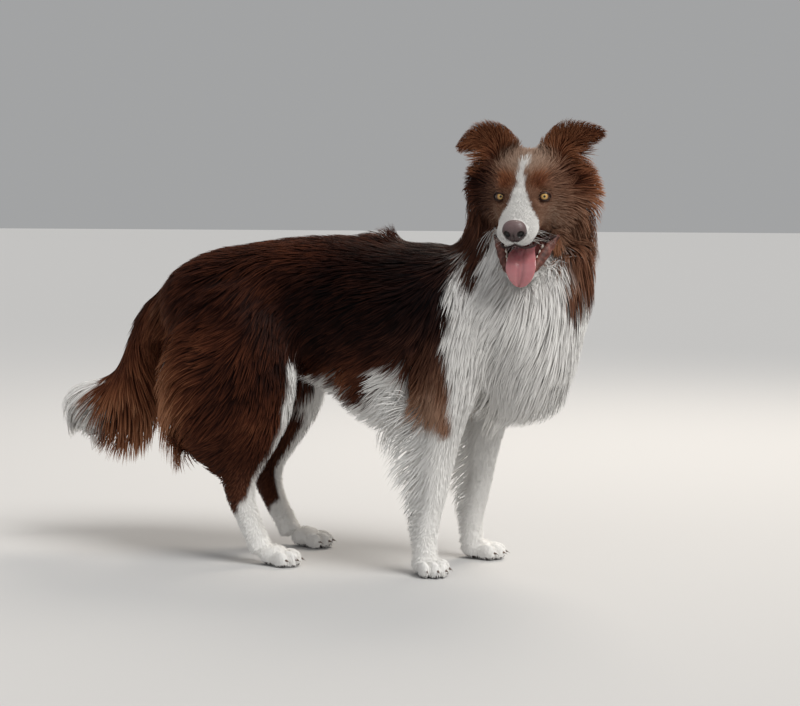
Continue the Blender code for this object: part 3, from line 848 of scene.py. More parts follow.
def whiteness(points, normals, part):
    left, ahead, up = toDog(points).T
    ragged = markings["ragged"] * noise(points, 0.022, 5)
    soft = markings["soft"]

    def inside(distance):
        return smoothstep(-soft, soft, distance + ragged)

    white = inside(ahead - readRows(markings["bib"], up))
    elbow = np.maximum(0, np.where(left > 0, *markings["elbow"]) - ahead) * 1.9
    onForeleg = onParts(part, "foreleg_right", "foreleg_left")
    inward = (-0.15 - normals[:, 0] * np.sign(left)) * 0.05
    foreleg = inside(np.maximum(markings["foreSock"] + elbow - up, inward)) * onForeleg
    back, front, top = markings["belly"]
    belly = inside(np.minimum.reduce((front - ahead, ahead - back, top - up)))
    downward = (-normals[:, 2] - 0.70) * 0.05
    under = inside(np.minimum.reduce((ahead + 0.20, downward, 0.33 - up)))
    white = np.maximum.reduce((white * ~onForeleg, foreleg, belly * ~onForeleg, under))
    white = np.maximum(white, onForeleg * inside(ahead - np.where(left > 0, *markings["foreFront"])))
    for hand, side in (("right", -1), ("left", 1)):
        onLeg = onParts(part, "hindleg_" + hand) & (left * side > 0)
        sockUp, sockAhead = markings["hindSock"][hand]
        sock = inside(sockUp + (ahead - sockAhead) * 1.2 - up + 0.006 * noise(points, 0.012, 6))
        frontFacing = -normals[:, 1] - 0.30 * np.maximum(normals[:, 0] * side, 0)
        stripe = inside(np.minimum((frontFacing - 0.66) * 0.05, markings["stripe"] - up))
        white = np.maximum(white, np.where(onLeg, np.maximum(sock, stripe), 0))
    white = np.maximum(white, inside(markings["tailTip"] - ahead))
    # the head has its own: brown with a blaze, a white muzzle and a white throat
    aside, ahead, high = toHead(points).T
    outward = np.abs(aside)
    fine = 0.0010 * noise(points, 0.006, 8)
    fromMiddle = np.abs(aside - readRows(markings["blazeMiddle"], ahead))
    blaze = smoothstep(-0.001, 0.001, readRows(markings["blaze"], ahead) - fromMiddle + fine)
    blaze *= smoothstep(-0.072, -0.066, high)
    half, top = markings["throat"]
    throat = inside(np.minimum(half - outward, top - high))
    belowLip = smoothstep(0.002, -0.002, high - readRows(markings["jawBrown"], ahead) + fine)
    chin = np.maximum(smoothstep(0.030, 0.040, ahead), belowLip)
    chin *= 1 - smoothstep(0.036, 0.046, outward) * smoothstep(0.0, -0.015, ahead)
    onHead, onJaw = onParts(part, "head", "ear_right", "ear_left"), onParts(part, "jaw")
    white = np.where(up < 0.06, 1, white)
    white = np.where(onHead, np.maximum(blaze, throat), white)
    white = np.where(onJaw, chin, white)
    # the cheeks' brown hangs over the top of the bib
    onLeft = aside > 0
    inner = np.where(onLeft, *markings["cheekInner"])
    outer = np.where(onLeft, *markings["cheekOuter"])
    lowest = np.where(onLeft, *markings["cheekLowest"])
    lowest = pose["eyeMiddle"][2] + lowest - 0.042 * smoothstep(0.050, 0.070, outward + 0.008 * onLeft)
    lowest += 0.018 * noise(points, 0.014, 15)
    hanging = np.minimum.reduce((outward - inner, up - lowest, outer - outward, ahead + 0.170))
    overBib = smoothstep(-0.003, 0.003, hanging + 1.3 * ragged) * ~onJaw
    return np.where(onHead & (blaze > 0.5), white, white * (1 - overBib))


coatShades = {  # places, sizes and how much lighter the brown is there, how much painted sheen it takes (painted shade on the white), and how much lighter and more golden its tips are, partly sun-bleached and partly painted backlight
    "base": (0.22, 0.03, 0.13),
    "body": (  # forward, up
        # painted shade: the middle of the flank, which faces away from the light, is painted darker
        (-0.06, 0.440, 0.150, 0.075, -0.24, 0.0, -0.05),
        (0.080, 0.450, 0.060, 0.100, -0.16, 0.5, -0.05),
        # painted highlight: the top of the back is painted lighter, with painted sheen
        (-0.02, 0.545, 0.220, 0.026, 0.12, 0.3, 0.08),
        (-0.330, 0.400, 0.060, 0.060, 0.00, 0.0, 0.12),
        (-0.390, 0.430, 0.035, 0.050, 0.16, 0.2, 0.10),
        (-0.365, 0.285, 0.065, 0.080, 0.42, 0.0, 0.80),
        (-0.200, 0.320, 0.060, 0.070, -0.05, 0.0, 0.08),
        (-0.190, 0.250, 0.040, 0.040, 0.08, 0.0, 0.12),
        (0.095, 0.260, 0.060, 0.045, 0.60, 0.3, 0.14),
        (0.100, 0.330, 0.045, 0.060, 0.34, 0.3, 0.08),
        (-0.060, 0.320, 0.060, 0.025, 0.15, 0.0, 0.12),
        (-0.480, 0.240, 0.080, 0.110, 0.20, 0.0, 0.40),
        (-0.240, 0.120, 0.060, 0.060, 0.20, 0.2, 0.0),
        # painted shade: the white of the chest under the head is painted greyer
        (0.200, 0.400, 0.080, 0.140, 0.0, 1.0, 0.0),
    ),
    "faceBase": (0.65, 0.72, 0.06),
    "face": (  # aside, ahead, up
        # painted light: the forehead is painted lighter, as where the light falls on it, with some painted
        # sheen
        (0.000, -0.030, 0.045, 0.040, 0.040, 0.022, 0.40, 0.2, 0.0),
        (0.022, -0.006, 0.021, 0.012, 0.018, 0.010, -0.26, -1.7, 0.10),
        (0.040, 0.000, -0.030, 0.018, 0.030, 0.020, 0.16, 0.2, 0.0),
        (0.046, -0.004, -0.084, 0.014, 0.034, 0.012, 0.26, -0.8, 0.0),
        # painted shadow: the hair under each ear's root is painted darker
        (0.064, -0.052, 0.012, 0.022, 0.026, 0.020, -0.38, -0.6, 0.10),
        (0.092, -0.080, -0.010, 0.030, 0.060, 0.055, -0.06, -0.8, 0.36),
        (0.080, -0.060, -0.110, 0.040, 0.060, 0.035, -0.14, -0.4, 0.14),
    ),
    # the ears' tips are painted more golden, partly sun-bleached and partly as painted backlight on their
    # fringes
    "ear": (0.46, -0.1, 0.38),
}


def brownShades(points, part):
    # the tone of the brown from 0 nearly black to 1 light, with painted shade and painted light in places,
    # its painted sheen, and how much lighter its tips are, partly painted backlight
    dog, local = toDog(points), toHead(points)
    shades = np.tile(coatShades["base"], (len(points), 1))
    for ahead, up, long, high, *change in coatShades["body"]:
        near = np.exp(-((dog[:, 1] - ahead) / long) ** 2 - ((dog[:, 2] - up) / high) ** 2)
        shades += near[:, None] * change
    shades[:, 0] += 0.05 * noise(points, 0.05, 12)
    face = np.tile(coatShades["faceBase"], (len(points), 1))
    for aside, ahead, up, wide, long, high, *change in coatShades["face"]:
        offset = np.stack((np.abs(local[:, 0]) - aside, local[:, 1] - ahead, local[:, 2] - up), axis=1)
        near = np.exp(-((offset / (wide, long, high)) ** 2).sum(axis=1))
        face += near[:, None] * change
    # painted shade: the dog's right side of the face, away from the light, is painted darker
    face[:, 0] += 0.03 * noise(points, 0.02, 14) - 0.30 * smoothstep(-0.034, -0.060, local[:, 0])
    away = np.linalg.norm(local - (0, -0.05, -0.05), axis=1)
    nearHead = np.where(onParts(part, "head", "jaw"), 1, smoothstep(0.15, 0.10, away))[:, None]
    shades = shades * (1 - nearHead) + face * nearHead
    shades[onParts(part, "ear_right", "ear_left")] = coatShades["ear"]
    return shades.clip(0, 1)


headTufts = [  # place on the head, size, way, length and how far it stands out, the same on both sides
    ((0.066, -0.072, 0.004), 0.022, (1.0, -0.15, 0.45), 0.044, 0.020),
    ((0.078, -0.085, -0.026), 0.026, (0.9, -0.50, -0.10), 0.046, 0.015),
    ((0.080, -0.075, -0.066), 0.030, (0.45, -0.20, -1.0), 0.060, 0.014),
    ((0.036, -0.066, 0.046), 0.017, (-0.55, 0.12, 1.0), 0.030, 0.014),
    ((0.060, -0.080, 0.072), 0.018, (0.2, 0.1, 1.0), 0.018, 0.008),
    ((0.068, -0.074, 0.038), 0.020, (1.0, 0.05, -0.35), 0.042, 0.021),
]
bodyTufts = [  # the same for the body: left, forward and up
    ((0.085, 0.052, 0.245), 0.030, (0.05, -1.0, -0.25), 0.100, 0.050),
    ((0.085, 0.062, 0.195), 0.030, (0.05, -1.0, -0.50), 0.090, 0.044),
    ((0.085, 0.066, 0.150), 0.026, (0.05, -0.8, -0.80), 0.056, 0.024),
    ((0.000, -0.012, 0.528), 0.013, (0.0, 0.45, 1.0), 0.036, 0.030),
    ((0.000, -0.560, 0.262), 0.034, (0.0, -0.9, -0.75), 0.105, 0.020),
    ((0.078, -0.345, 0.290), 0.045, (0.0, -0.45, -1.0), 0.120, 0.016),
]


def addTufts(points, ways, lengths):
    stand, keep = np.zeros(len(points)), np.zeros(len(points))
    dogAxes = np.diag((1.0, -1.0, 1.0))
    for tufts, local, axes in ((headTufts, toHead(points), headAxes), (bodyTufts, toDog(points), dogAxes)):
        for place, size, way, length, out in tufts:
            for side in (-1, 1):
                flip = np.array((side, 1, 1))
                near = np.exp(-((local - place * flip) ** 2).sum(axis=1) / size ** 2)
                share = np.minimum(1.5 * near, 1)
                ways = ways * (1 - share[:, None]) + unit((way * flip) @ axes) * share[:, None]
                lengths = lengths * (1 - share) + length * share
                stand = np.maximum(stand, out * near)
                keep = np.maximum(keep, share * (out > 0))
    return ways, lengths, stand, keep


def hangBelowFace(points, ways, part):
    # under the mouth and behind the cheeks the hair hangs down over the bib
    left, ahead, up = toHead(points).T
    low = smoothstep(-0.054, -0.080, up) * smoothstep(0.030, 0.010, ahead)
    low = np.maximum(low, smoothstep(0.078, 0.095, np.abs(left)) * smoothstep(0.0, -0.05, up))
    low *= onParts(part, "head", "jaw", "neck")
    outward = np.sign(left)[:, None] * headLeft
    down = unit(0.18 * outward - 0.10 * headAhead - upward)
    return ways * (1 - low[:, None]) + down * low[:, None], low


def looseness(points, normals, part):
    # 1 where the hair hangs freely from below or behind: the tail, the haunches and the chest
    names = np.array(partNames)[part]
    below = rayDepth(envelope, points + normals * 0.003, np.tile(-upward, (len(points), 1)), 0.12)
    facing = smoothstep(-0.05, -0.40, normals[:, 2])
    rear = (names == "tail") | np.char.startswith(names, "hindleg")
    facing = np.where(rear, np.maximum(facing, 0.8 * smoothstep(0.1, 0.6, normals[:, 1])), facing)
    high = smoothstep(0.20, 0.25, points[:, 2])
    fringe = 0.7 * onParts(part, "trunk", "neck") * smoothstep(-0.24, -0.16, toDog(points)[:, 1])
    return np.maximum(smoothstep(0.016, 0.045, below), fringe) * facing * high


def readSkin():
    mesh = skin.data
    points, normals = spotsOf(mesh), spotsOf(mesh, "normal")
    even = smoothOver(mesh, normals, 12)
    ways, lengths, part = readCoat(points)
    ways, low = hangBelowFace(points, ways, part)
    ways, lengths, stand, keep = addTufts(points, ways, lengths)
    dog = toDog(points)
    haunch = smoothstep(0.2, 0.6, np.abs(normals[:, 0])) * ~onParts(part, "tail")
    for ahead, up, size, back, down in strokes:
        near = ((dog[:, 1] - ahead) ** 2 + (dog[:, 2] - up) ** 2) / size ** 2
        share = (1.6 * np.exp(-near) * haunch).clip(0, 1)[:, None]
        ways = ways * (1 - share) + unit((0, back, -down)) * share
    ways = smoothOver(mesh, ways, 14)
    outward = (ways * normals).sum(axis=1)
    outward -= np.maximum(outward, 0) * smoothOver(mesh, np.maximum(keep, low), 6)
    ways -= normals * outward[:, None]
    depths = rayDepth(envelope, points, unit(even), 0.09)
    depths = smoothOver(mesh, np.where(depths == 0.09, 0.004, depths), 6)
    depths *= 1 - 0.45 * smoothOver(mesh, low, 6)
    bare, mouth, sole = bareness(points, normals, part)
    rim = lidRim(points)
    white = whiteness(points, normals, part)
    shades = brownShades(points, part)
    loose = smoothOver(mesh, looseness(points, unit(even), part), 6)
    # the shades carry painted sheen on the brown, painted shade on the white, and tips lighter partly as
    # painted backlight
    return {
        "points": points, "normals": normals, "even": unit(even), "ways": unit(ways),
        "lengths": smoothOver(mesh, lengths, 4), "depths": np.maximum(depths, stand), "part": part,
        "bare": bare, "stand": stand, "loose": loose, "marking": white, "tone": shades[:, 0],
        "dull": shades[:, 1], "bleachAndBacklight": shades[:, 2], "mouth": smoothOver(mesh, mouth, 2), "rim": rim,
        "sole": sole,
    }


field = readSkin()
report("lie of the coat read")


# The coat: locks of solid mesh that grow from the skin.

groom = {
    "seed": 11,
    "span": (0.005, 0.050),  # lengths between which the layers go from the fewest to the most
    "layers": (1.16, 3.4),
    "slender": 0.042,  # width as a share of the length
    "width": (0.0011, 0.0021),
    "parts": {  # how much denser, wider and wavier the locks of some parts are
        "trunk": (0.95, 1.0, 1.2), "neck": (1.25, 0.90, 0.3), "tail": (1.3, 0.95, 0.8),
        "head": (1.0, 0.72, 0.8), "jaw": (1.1, 0.74, 0.5), "ear": (1.5, 0.62, 1.2),
        "foreleg": (0.8, 1.0, 0.8), "hindleg": (0.9, 1.0, 1.3),
    },
    "flat": 0.23,  # thickness as a share of the width
    "spread": 7,  # degrees by which each lock strays from the lie of the coat
    "streaks": 10,  # degrees by which they stray together
    "streakSize": 0.030,
    "uneven": (0.78, 1.10),
    "outer": (0.45, 1.00),  # how far out through the coat each tip lies
    "hang": 0.42,
    "hangLoose": 0.95,
    "below": 0.042,  # how far loose hair may hang below the coat's outline
    "clump": 0.34,
    "clumpOf": 16,  # locks drawn to one leader
    "clumpTone": 0.13,
    "wave": 0.0030,
    "lean": 0.20,  # how far each lock's shading turns to its sides
    "leanFree": 0.35,
    "patch": 0.003,  # each lock's own patch on the map for the colours
}
rings = {"short": 2, "middle": 3, "long": 4, "flowing": 5}
field["groomOf"] = np.array([groom["parts"][name.split("_")[0]] for name in partNames])[field["part"]]
lengthClass = (0.011, 0.026, 0.075)  # lengths at which a lock gets one more ring


def faceRoots(rng):
    # random places over the skin, as the corners of a face and their shares, with their spot on the map
    mesh = skin.data
    mesh.calc_loop_triangles()
    corners = arrayOf(mesh.loop_triangles, "vertices", 3, np.int32)
    loops = arrayOf(mesh.loop_triangles, "loops", 3, np.int32)
    uv = arrayOf(mesh.uv_layers.active.data, "uv", 2)[loops]
    spots = field["points"][corners]
    area = 0.5 * np.linalg.norm(np.cross(spots[:, 1] - spots[:, 0], spots[:, 2] - spots[:, 0]), axis=1)
    length = field["lengths"][corners].mean(axis=1)
    short, long = groom["span"]
    layers = groom["layers"][0] + (groom["layers"][1] - groom["layers"][0]) * smoothstep(short, long, length)
    dense, wide, _ = field["groomOf"][corners[:, 0]].T
    width = np.clip(groom["slender"] * length, *groom["width"]) * wide
    bare = field["bare"][corners].max(axis=1)
    onPaw = spots[:, 0, 2] < 0.05
    wanted = area * layers * dense / (0.6 * width * length) * (bare < 0.5) * np.where(onPaw, 0.55, 1)
    ends = np.cumsum(wanted)
    count = int(ends[-1])
    picks = (np.arange(count) + rng.uniform(0, 1, count)).clip(0, ends[-1] * 0.999999)
    chosen = np.searchsorted(ends, picks)
    share = rng.uniform(0, 1, (len(chosen), 2))
    over = share.sum(axis=1) > 1
    share[over] = 1 - share[over]
    share = np.column_stack((1 - share.sum(axis=1), share))
    return corners[chosen], share, (uv[chosen] * share[..., None]).sum(axis=1)


def atRoots(values, corners, share):
    found = values[corners]
    if found.ndim == 3:
        return (found * share[..., None]).sum(axis=1)
    return (found * share).sum(axis=1)


def turnAbout(vectors, axes, angles):
    c, s = np.cos(angles)[:, None], np.sin(angles)[:, None]
    along = (vectors * axes).sum(axis=1)[:, None]
    return vectors * c + np.cross(axes, vectors) * s + axes * along * (1 - c)


def rootsOfCoat(rng):
    corners, share, uv = faceRoots(rng)
    count = len(corners)
    roots = {key: atRoots(field[key], corners, share)
             for key in ("points", "even", "ways", "lengths", "depths", "marking", "tone", "dull", "bleachAndBacklight",
                         "stand", "loose", "groomOf")}
    roots["uv"] = uv
    roots["part"] = field["part"][corners[np.arange(count), share.argmax(axis=1)]]
    roots["even"] = unit(roots["even"])
    base = roots["lengths"]
    roots["lengths"] = np.maximum(base, 1.05 * roots["depths"]) * rng.uniform(*groom["uneven"], count)
    roots["width"] = np.clip(groom["slender"] * base, *groom["width"]) * rng.uniform(0.75, 1.25, count)
    _, wide, roots["wavy"] = roots.pop("groomOf").T
    roots["width"] *= wide
    roots["outer"] = rng.uniform(*groom["outer"], count)
    roots["strand"] = rng.uniform(0, 1, count)
    roots["roll"] = rng.normal(0, 0.25, count)
    stray = rng.normal(0, groom["spread"], count)
    stray += groom["streaks"] * noise(roots["points"], groom["streakSize"], 21)
    roots["ways"] = turnAbout(unit(roots["ways"]), roots["even"], np.radians(stray))
    roots["phase"] = math.tau * noise(roots["points"], 0.045, 23)
    return roots


def pick(roots, chosen):
    return {key: values[chosen] for key, values in roots.items()}


ownSurface = surfaceOf(skin.data)
skinTree = pointTree(field["points"])


def overSkin(points):
    # the nearest point of the skin, and the height over it
    near = np.array([skinTree.find(point)[1] for point in points])
    normal = field["even"][near]
    return near, normal, ((points - field["points"][near]) * normal).sum(axis=1)


def keepInside(points, stand, loose):
    # draws back what stands further out than the coat's outline, but lets loose hair hang below and behind
    for i, point in enumerate(points):
        spot, normal, _, _ = envelope.find_nearest(point)
        most = 0.003 + 0.8 * stand[i] + groom["below"] * loose[i] * (1 - abs(normal.x))
        if (Vector(point) - spot).dot(normal) > most:
            points[i] = spot + normal * most
    return points


def growLocks(roots, count):
    # the path of each lock: it follows the skin out to its own layer, and hangs where it is free of it
    length = roots["lengths"]
    step = (length / count)[:, None]
    here = roots["points"] - roots["even"] * 0.0008
    way = roots["ways"]
    long = smoothstep(0.030, 0.075, length)
    path = [here]
    normal, height, depth, local = roots["even"], np.zeros(len(length)), roots["depths"], way
    for k in range(count):
        done = (k + 1) / count
        target = depth * roots["outer"] * (1 - (1 - done) ** 1.8)
        slope = np.clip((target - height) / step[:, 0], -0.6, 1.4 - 0.5 * long)
        lying = unit(local + normal * slope[:, None])
        free = np.maximum(smoothstep(0.014, 0.040, height) * long, roots["loose"])
        hang = groom["hang"] + (groom["hangLoose"] - groom["hang"]) * roots["loose"]
        drop = hang * (0.25 + 0.75 * free) * smoothstep(0.02, 0.06, length)
        hanging = unit(way + upward * -drop[:, None])
        way = unit(lying * (1 - free)[:, None] + hanging * free[:, None])
        here = here + way * step
        near, normal, height = overSkin(here)
        least = 0.0004 + 0.06 * depth * done
        here = here + normal * np.maximum(least - height, 0)[:, None] * (height > -0.02)[:, None]
        height = np.maximum(height, least)
        depth = 0.5 * depth + 0.5 * field["depths"][near]
        flow = field["ways"][near]
        local = unit(local + flow * smoothstep(-0.2, 0.4, (local * flow).sum(axis=1))[:, None])
        path.append(here)
    roots["free"] = np.maximum(smoothstep(0.008, 0.022, height), smoothstep(0.2, 0.8, roots["loose"]))
    return np.stack(path, axis=1)


def wayFaced(path, roots):
    # the way that each lock faces: out from the skin, or out from the coat where it hangs free
    spots = path[:, int(0.7 * path.shape[1])]
    facing = outlineWays[[outlineTree.find(spot)[1] for spot in spots]]
    facing[:, 2] = np.maximum(facing[:, 2], -0.25)
    free = roots["free"][:, None]
    return unit(roots["even"] * (1 - free) + unit(facing) * free)


def gatherLocks(path, roots, rng):
    # draws the locks of long hair together toward leaders, and waves them
    count = len(path)
    leaders = rng.choice(count, max(1, count // groom["clumpOf"]), replace=False)
    tree = pointTree(roots["points"][leaders])
    own = leaders[[tree.find(point)[1] for point in roots["points"]]]
    s = np.linspace(0, 1, path.shape[1])[None, :, None]
    long = (smoothstep(0.018, 0.060, roots["lengths"]) * roots["wavy"])[:, None, None]
    strength = groom["clump"] * long * s ** 1.2 * (0.6 + 0.4 * roots["strand"][:, None, None])
    apart = np.linalg.norm(path[own, 0] - path[:, 0], axis=1)[:, None, None]
    strength = strength * smoothstep(0.030, 0.012, apart)
    path = path + (path[own] - path) * strength
    along = unit(path[:, -1] - path[:, 0])
    aside = unit(np.cross(along, roots["even"]))[:, None]
    roots["tone"] = roots["tone"] + groom["clumpTone"] * (roots["strand"][own] - 0.5) * long[:, 0, 0]
    phase = (roots["phase"][own] + 0.5 * roots["strand"])[:, None, None]
    sway = np.sin(math.tau * 1.25 * s + phase) - np.sin(phase)
    return path + aside * sway * s ** 0.7 * groom["wave"] * long


def lockMesh(name, path, roots):
    # flattened closed spikes, three-sided, with each one's patch on the map
    count, steps = path.shape[:2]
    steps -= 1
    s = np.arange(steps) / steps
    along = np.empty_like(path)
    along[:, 1:-1] = path[:, 2:] - path[:, :-2]
    along[:, 0], along[:, -1] = path[:, 1] - path[:, 0], path[:, -1] - path[:, -2]
    along = unit(along)[:, :-1]
    aside = unit(np.cross(along, roots["facing"][:, None] + 1e-4))
    top = np.cross(aside, along)
    soft = top.copy()
    roll = roots["roll"][:, None, None]
    aside, top = aside * np.cos(roll) + top * np.sin(roll), top * np.cos(roll) - aside * np.sin(roll)
    shape = np.interp(s, (0, 0.2, 0.5, 0.8, 1), (0.62, 1.0, 0.95, 0.62, 0.2))
    wide = 0.5 * roots["width"][:, None, None] * shape[None, :, None]
    thick = groom["flat"] * wide * 2
    middles = path[:, :-1]
    corners = np.stack((middles + aside * wide, middles - aside * wide, middles + top * thick), axis=2)
    verts = np.concatenate((corners.reshape(count, -1, 3), path[:, -1:]), axis=1)
    each = verts.shape[1]
    last = 3 * (steps - 1)
    faces = ringFaces(steps, 3) + [(last + k, last + (k + 1) % 3, 3 * steps) for k in range(3)] + [(1, 0, 2)]
    flat = np.concatenate(faces)
    sizes = np.array([len(face) for face in faces])
    high = np.append(np.repeat(s, 3), 1.0)
    spots = []
    for i in range(steps - 1):
        for k in range(3):
            low, up = s[i], s[i + 1]
            spots += [(k / 3, low), ((k + 1) / 3, low), ((k + 1) / 3, up), (k / 3, up)]
    for k in range(3):
        spots += [(k / 3, s[-1]), ((k + 1) / 3, s[-1]), ((k + 0.5) / 3, 1)]
    spots += [(0.2, 0), (0.8, 0), (0.5, -0.12)]
    spots = np.array(spots) - 0.5
    mesh = bpy.data.meshes.new(name)
    mesh.vertices.add(count * each)
    mesh.vertices.foreach_set("co", verts.ravel())
    mesh.loops.add(count * len(flat))
    shift = np.arange(count)[:, None]
    mesh.loops.foreach_set("vertex_index", (flat + shift * each).ravel())
    mesh.polygons.add(count * len(faces))
    starts = np.cumsum(sizes) - sizes
    mesh.polygons.foreach_set("loop_start", (starts + shift * len(flat)).ravel())
    mesh.update(calc_edges=True)
    layer = mesh.uv_layers.new(name="OFBake")
    layer.data.foreach_set("uv", (roots["uv"][:, None] + spots * groom["patch"]).ravel())
    layer = mesh.uv_layers.new(name="lock")
    layer.data.foreach_set("uv", np.tile((spots + 0.5).ravel(), count))
    for key in ("marking", "dull", "strand"):
        addAttribute(mesh, key, np.repeat(roots[key], each))
    # tips lighter and more golden, partly sun-bleached and partly painted backlight
    addAttribute(mesh, "tone", roots["tone"][:, None] + roots["bleachAndBacklight"][:, None] * high ** 1.5)
    addAttribute(mesh, "along", np.tile(high, count))
    # shading that turns with the body more than with each lock, and the other way on its flat underside
    below = np.arange(len(faces)) % 3 == 0
    below[-1] = False
    mesh.polygons.foreach_set("use_smooth", np.tile(~below, count))
    free = roots["free"][:, None, None]
    lean = groom["lean"] + groom["leanFree"] * free
    face = soft * (1 - 0.4 * free) + top * 0.4 * free
    turns = []
    for side in (face, -face):
        corners = np.stack((unit(side + aside * lean), unit(side - aside * lean), unit(side)), axis=2)
        turns.append(np.concatenate((corners.reshape(count, -1, 3), side[:, -1:]), axis=1)[:, flat])
    turns = np.where(np.repeat(below, sizes)[:, None], turns[1], turns[0])
    addAttribute(mesh, "custom_normal", turns.reshape(-1, 3), "CORNER")
    return mesh


def coatPieces(roots):
    # which piece each lock belongs to
    part = np.array(partNames)[roots["part"]]
    left = np.where(toDog(roots["points"])[:, 0] > 0, "Left", "Right")
    local = toHead(roots["points"])
    rear = np.where(toDog(roots["points"])[:, 1] < -0.12, "coatRump", "coatBack")
    piece = np.char.add(rear, left)
    onLegs = np.char.startswith(part, "foreleg") | np.char.startswith(part, "hindleg")
    legs = np.char.partition(part, "_")
    limb = np.where(legs[:, 0] == "foreleg", "coatForeleg", "coatHindleg")
    piece = np.where(onLegs, np.char.add(limb, np.char.capitalize(legs[:, 2])), piece)
    onPaw = onLegs & (roots["points"][:, 2] < 0.050)
    piece = np.where(onPaw, "coatPaws", piece)
    piece = np.where(part == "tail", "coatTail", piece)
    piece = np.where(part == "neck", np.char.add("coatNeck", left), piece)
    onHead = (part == "head") | (part == "jaw")
    piece = np.where(onHead, np.where(local[:, 1] > -0.045, "coatFace", np.char.add("coatHead", left)), piece)
    return np.where(np.char.startswith(part, "ear"), "coatEars", piece)


def growCoat():
    rng = np.random.default_rng(groom["seed"])
    roots = rootsOfCoat(rng)
    base = roots["lengths"]
    pieces = coatPieces(roots)
    made = []
    report(f"{len(base)} locks rooted")
    low = np.digitize(base, lengthClass)
    found = {}
    for kind, name in enumerate(rings):
        chosen = np.nonzero(low == kind)[0]
        group = pick(roots, chosen)
        path = growLocks(group, rings[name])
        if name != "short":
            path = gatherLocks(path, group, rng)
        if name in ("long", "flowing"):
            for k in range(2, path.shape[1]):
                path[:, k] = keepInside(path[:, k], group["stand"], group["loose"])
            for _ in range(3):
                path[:, 1:-1] = 0.5 * path[:, 1:-1] + 0.25 * (path[:, 2:] + path[:, :-2])
        group["facing"] = wayFaced(path, group)
        path[..., 2] = np.maximum(path[..., 2], 0.0006)
        found[name] = (chosen, group, path)
        report(f"{len(chosen)} {name} locks grown")
    for piece in sorted(set(pieces)):
        meshes = []
        for name, (chosen, group, path) in found.items():
            here = np.nonzero(pieces[chosen] == piece)[0]
            if len(here):
                meshes.append(lockMesh(piece + name.capitalize(), path[here], pick(group, here)))
        obj = joinMeshes(piece, meshes)
        triangles = sum(len(polygon.vertices) - 2 for polygon in obj.data.polygons)
        report(f"{piece}: {triangles} triangles")
        made.append(obj)
    return made


def joinMeshes(name, meshes):
    objects = [newObject(name, mesh) for mesh in meshes]
    if len(objects) > 1:
        with bpy.context.temp_override(active_object=objects[0], selected_editable_objects=objects):
            bpy.ops.object.join()
    objects[0].name = name
    return objects[0]


coat = growCoat()


# Materials.


def feed(tree, socket, value):
    # links a socket into another, or sets it to a number or a colour
    if isinstance(value, bpy.types.NodeSocket):
        tree.links.new(value, socket)
    elif socket.type == "RGBA":
        socket.default_value = (*value, 1)
    else:
        socket.default_value = value


def addNode(tree, kind, settings=None, **inputs):
    # a node with its settings; n0, n1 and so on stand for sockets by number
    node = tree.nodes.new(kind)
    for key, value in (settings or {}).items():
        setattr(node, key, value)
    for key, value in inputs.items():
        feed(tree, node.inputs[int(key[1:]) if key[1:].isdigit() else key], value)
    return node


def readAttribute(tree, name):
    return addNode(tree, "ShaderNodeAttribute", {"attribute_name": name}).outputs["Fac"]


coatColors = {
    "brown": (  # from the darkest tone to the lightest
        (0.0, (0.0018, 0.0007, 0.0007)), (0.25, (0.020, 0.0058, 0.0034)), (0.5, (0.080, 0.0235, 0.0108)),
        (0.75, (0.190, 0.068, 0.031)), (1.0, (0.37, 0.165, 0.085))),
    "dull": (0.88, 1.42, 2.10),  # what the brown is multiplied by where it takes painted sheen
    "shade": (0.76, 0.755, 0.75),  # and the white, for painted shade
    "whiteRoot": (0.72, 0.70, 0.675),
    "white": (0.90, 0.89, 0.87),
    "bare": {"rim": (0.040, 0.018, 0.014), "mouth": (0.10, 0.030, 0.028), "sole": (0.035, 0.022, 0.020)},
}


def ramp(tree, stops, value):
    node = addNode(tree, "ShaderNodeValToRGB", Fac=value)
    points = node.color_ramp.elements
    while len(points) < len(stops):
        points.new(0.5)
    for point, (position, color) in zip(points, stops):
        point.position = position
        point.color = (*color, 1)
    return node.outputs["Color"]


def calculate(tree, kind, *values, clamp=False):
    inputs = {f"n{i}": value for i, value in enumerate(values)}
    return addNode(tree, "ShaderNodeMath", {"operation": kind, "use_clamp": clamp}, **inputs).outputs[0]


def mixColor(tree, share, first, second, kind="MIX"):
    node = addNode(tree, "ShaderNodeMix", {"data_type": "RGBA", "blend_type": kind})
    for key, value in (("Factor_Float", share), ("A_Color", first), ("B_Color", second)):
        feed(tree, next(item for item in node.inputs if item.identifier == key), value)
    return next(item for item in node.outputs if item.identifier == "Result_Color")


def bump(tree, height, strength, distance):
    node = addNode(tree, "ShaderNodeBump", Height=height, Strength=strength, Distance=distance)
    return node.outputs["Normal"]


def newGroup(name, result, **inputs):
    # a shader node group with named inputs, and what goes into and comes out of it
    tree = bpy.data.node_groups.new(name, "ShaderNodeTree")
    for key, value in inputs.items():
        socket = tree.interface.new_socket(key, in_out="INPUT", socket_type="NodeSocketFloat")
        socket.default_value = value
    tree.interface.new_socket(result[0], in_out="OUTPUT", socket_type=result[1])
    return tree, tree.nodes.new("NodeGroupInput").outputs, tree.nodes.new("NodeGroupOutput").inputs[0]


def mottleGroup():
    # soft blots over the object's own shape, a number about 0.5
    tree, given, result = newGroup("mottle", ("Blots", "NodeSocketFloat"), Scale=200.0, Detail=3.0)
    spot = addNode(tree, "ShaderNodeTexCoord").outputs["Object"]
    blots = addNode(tree, "ShaderNodeTexNoise", Vector=spot, Scale=given["Scale"], Detail=given["Detail"])
    feed(tree, result, blots.outputs["Fac"])
    return tree


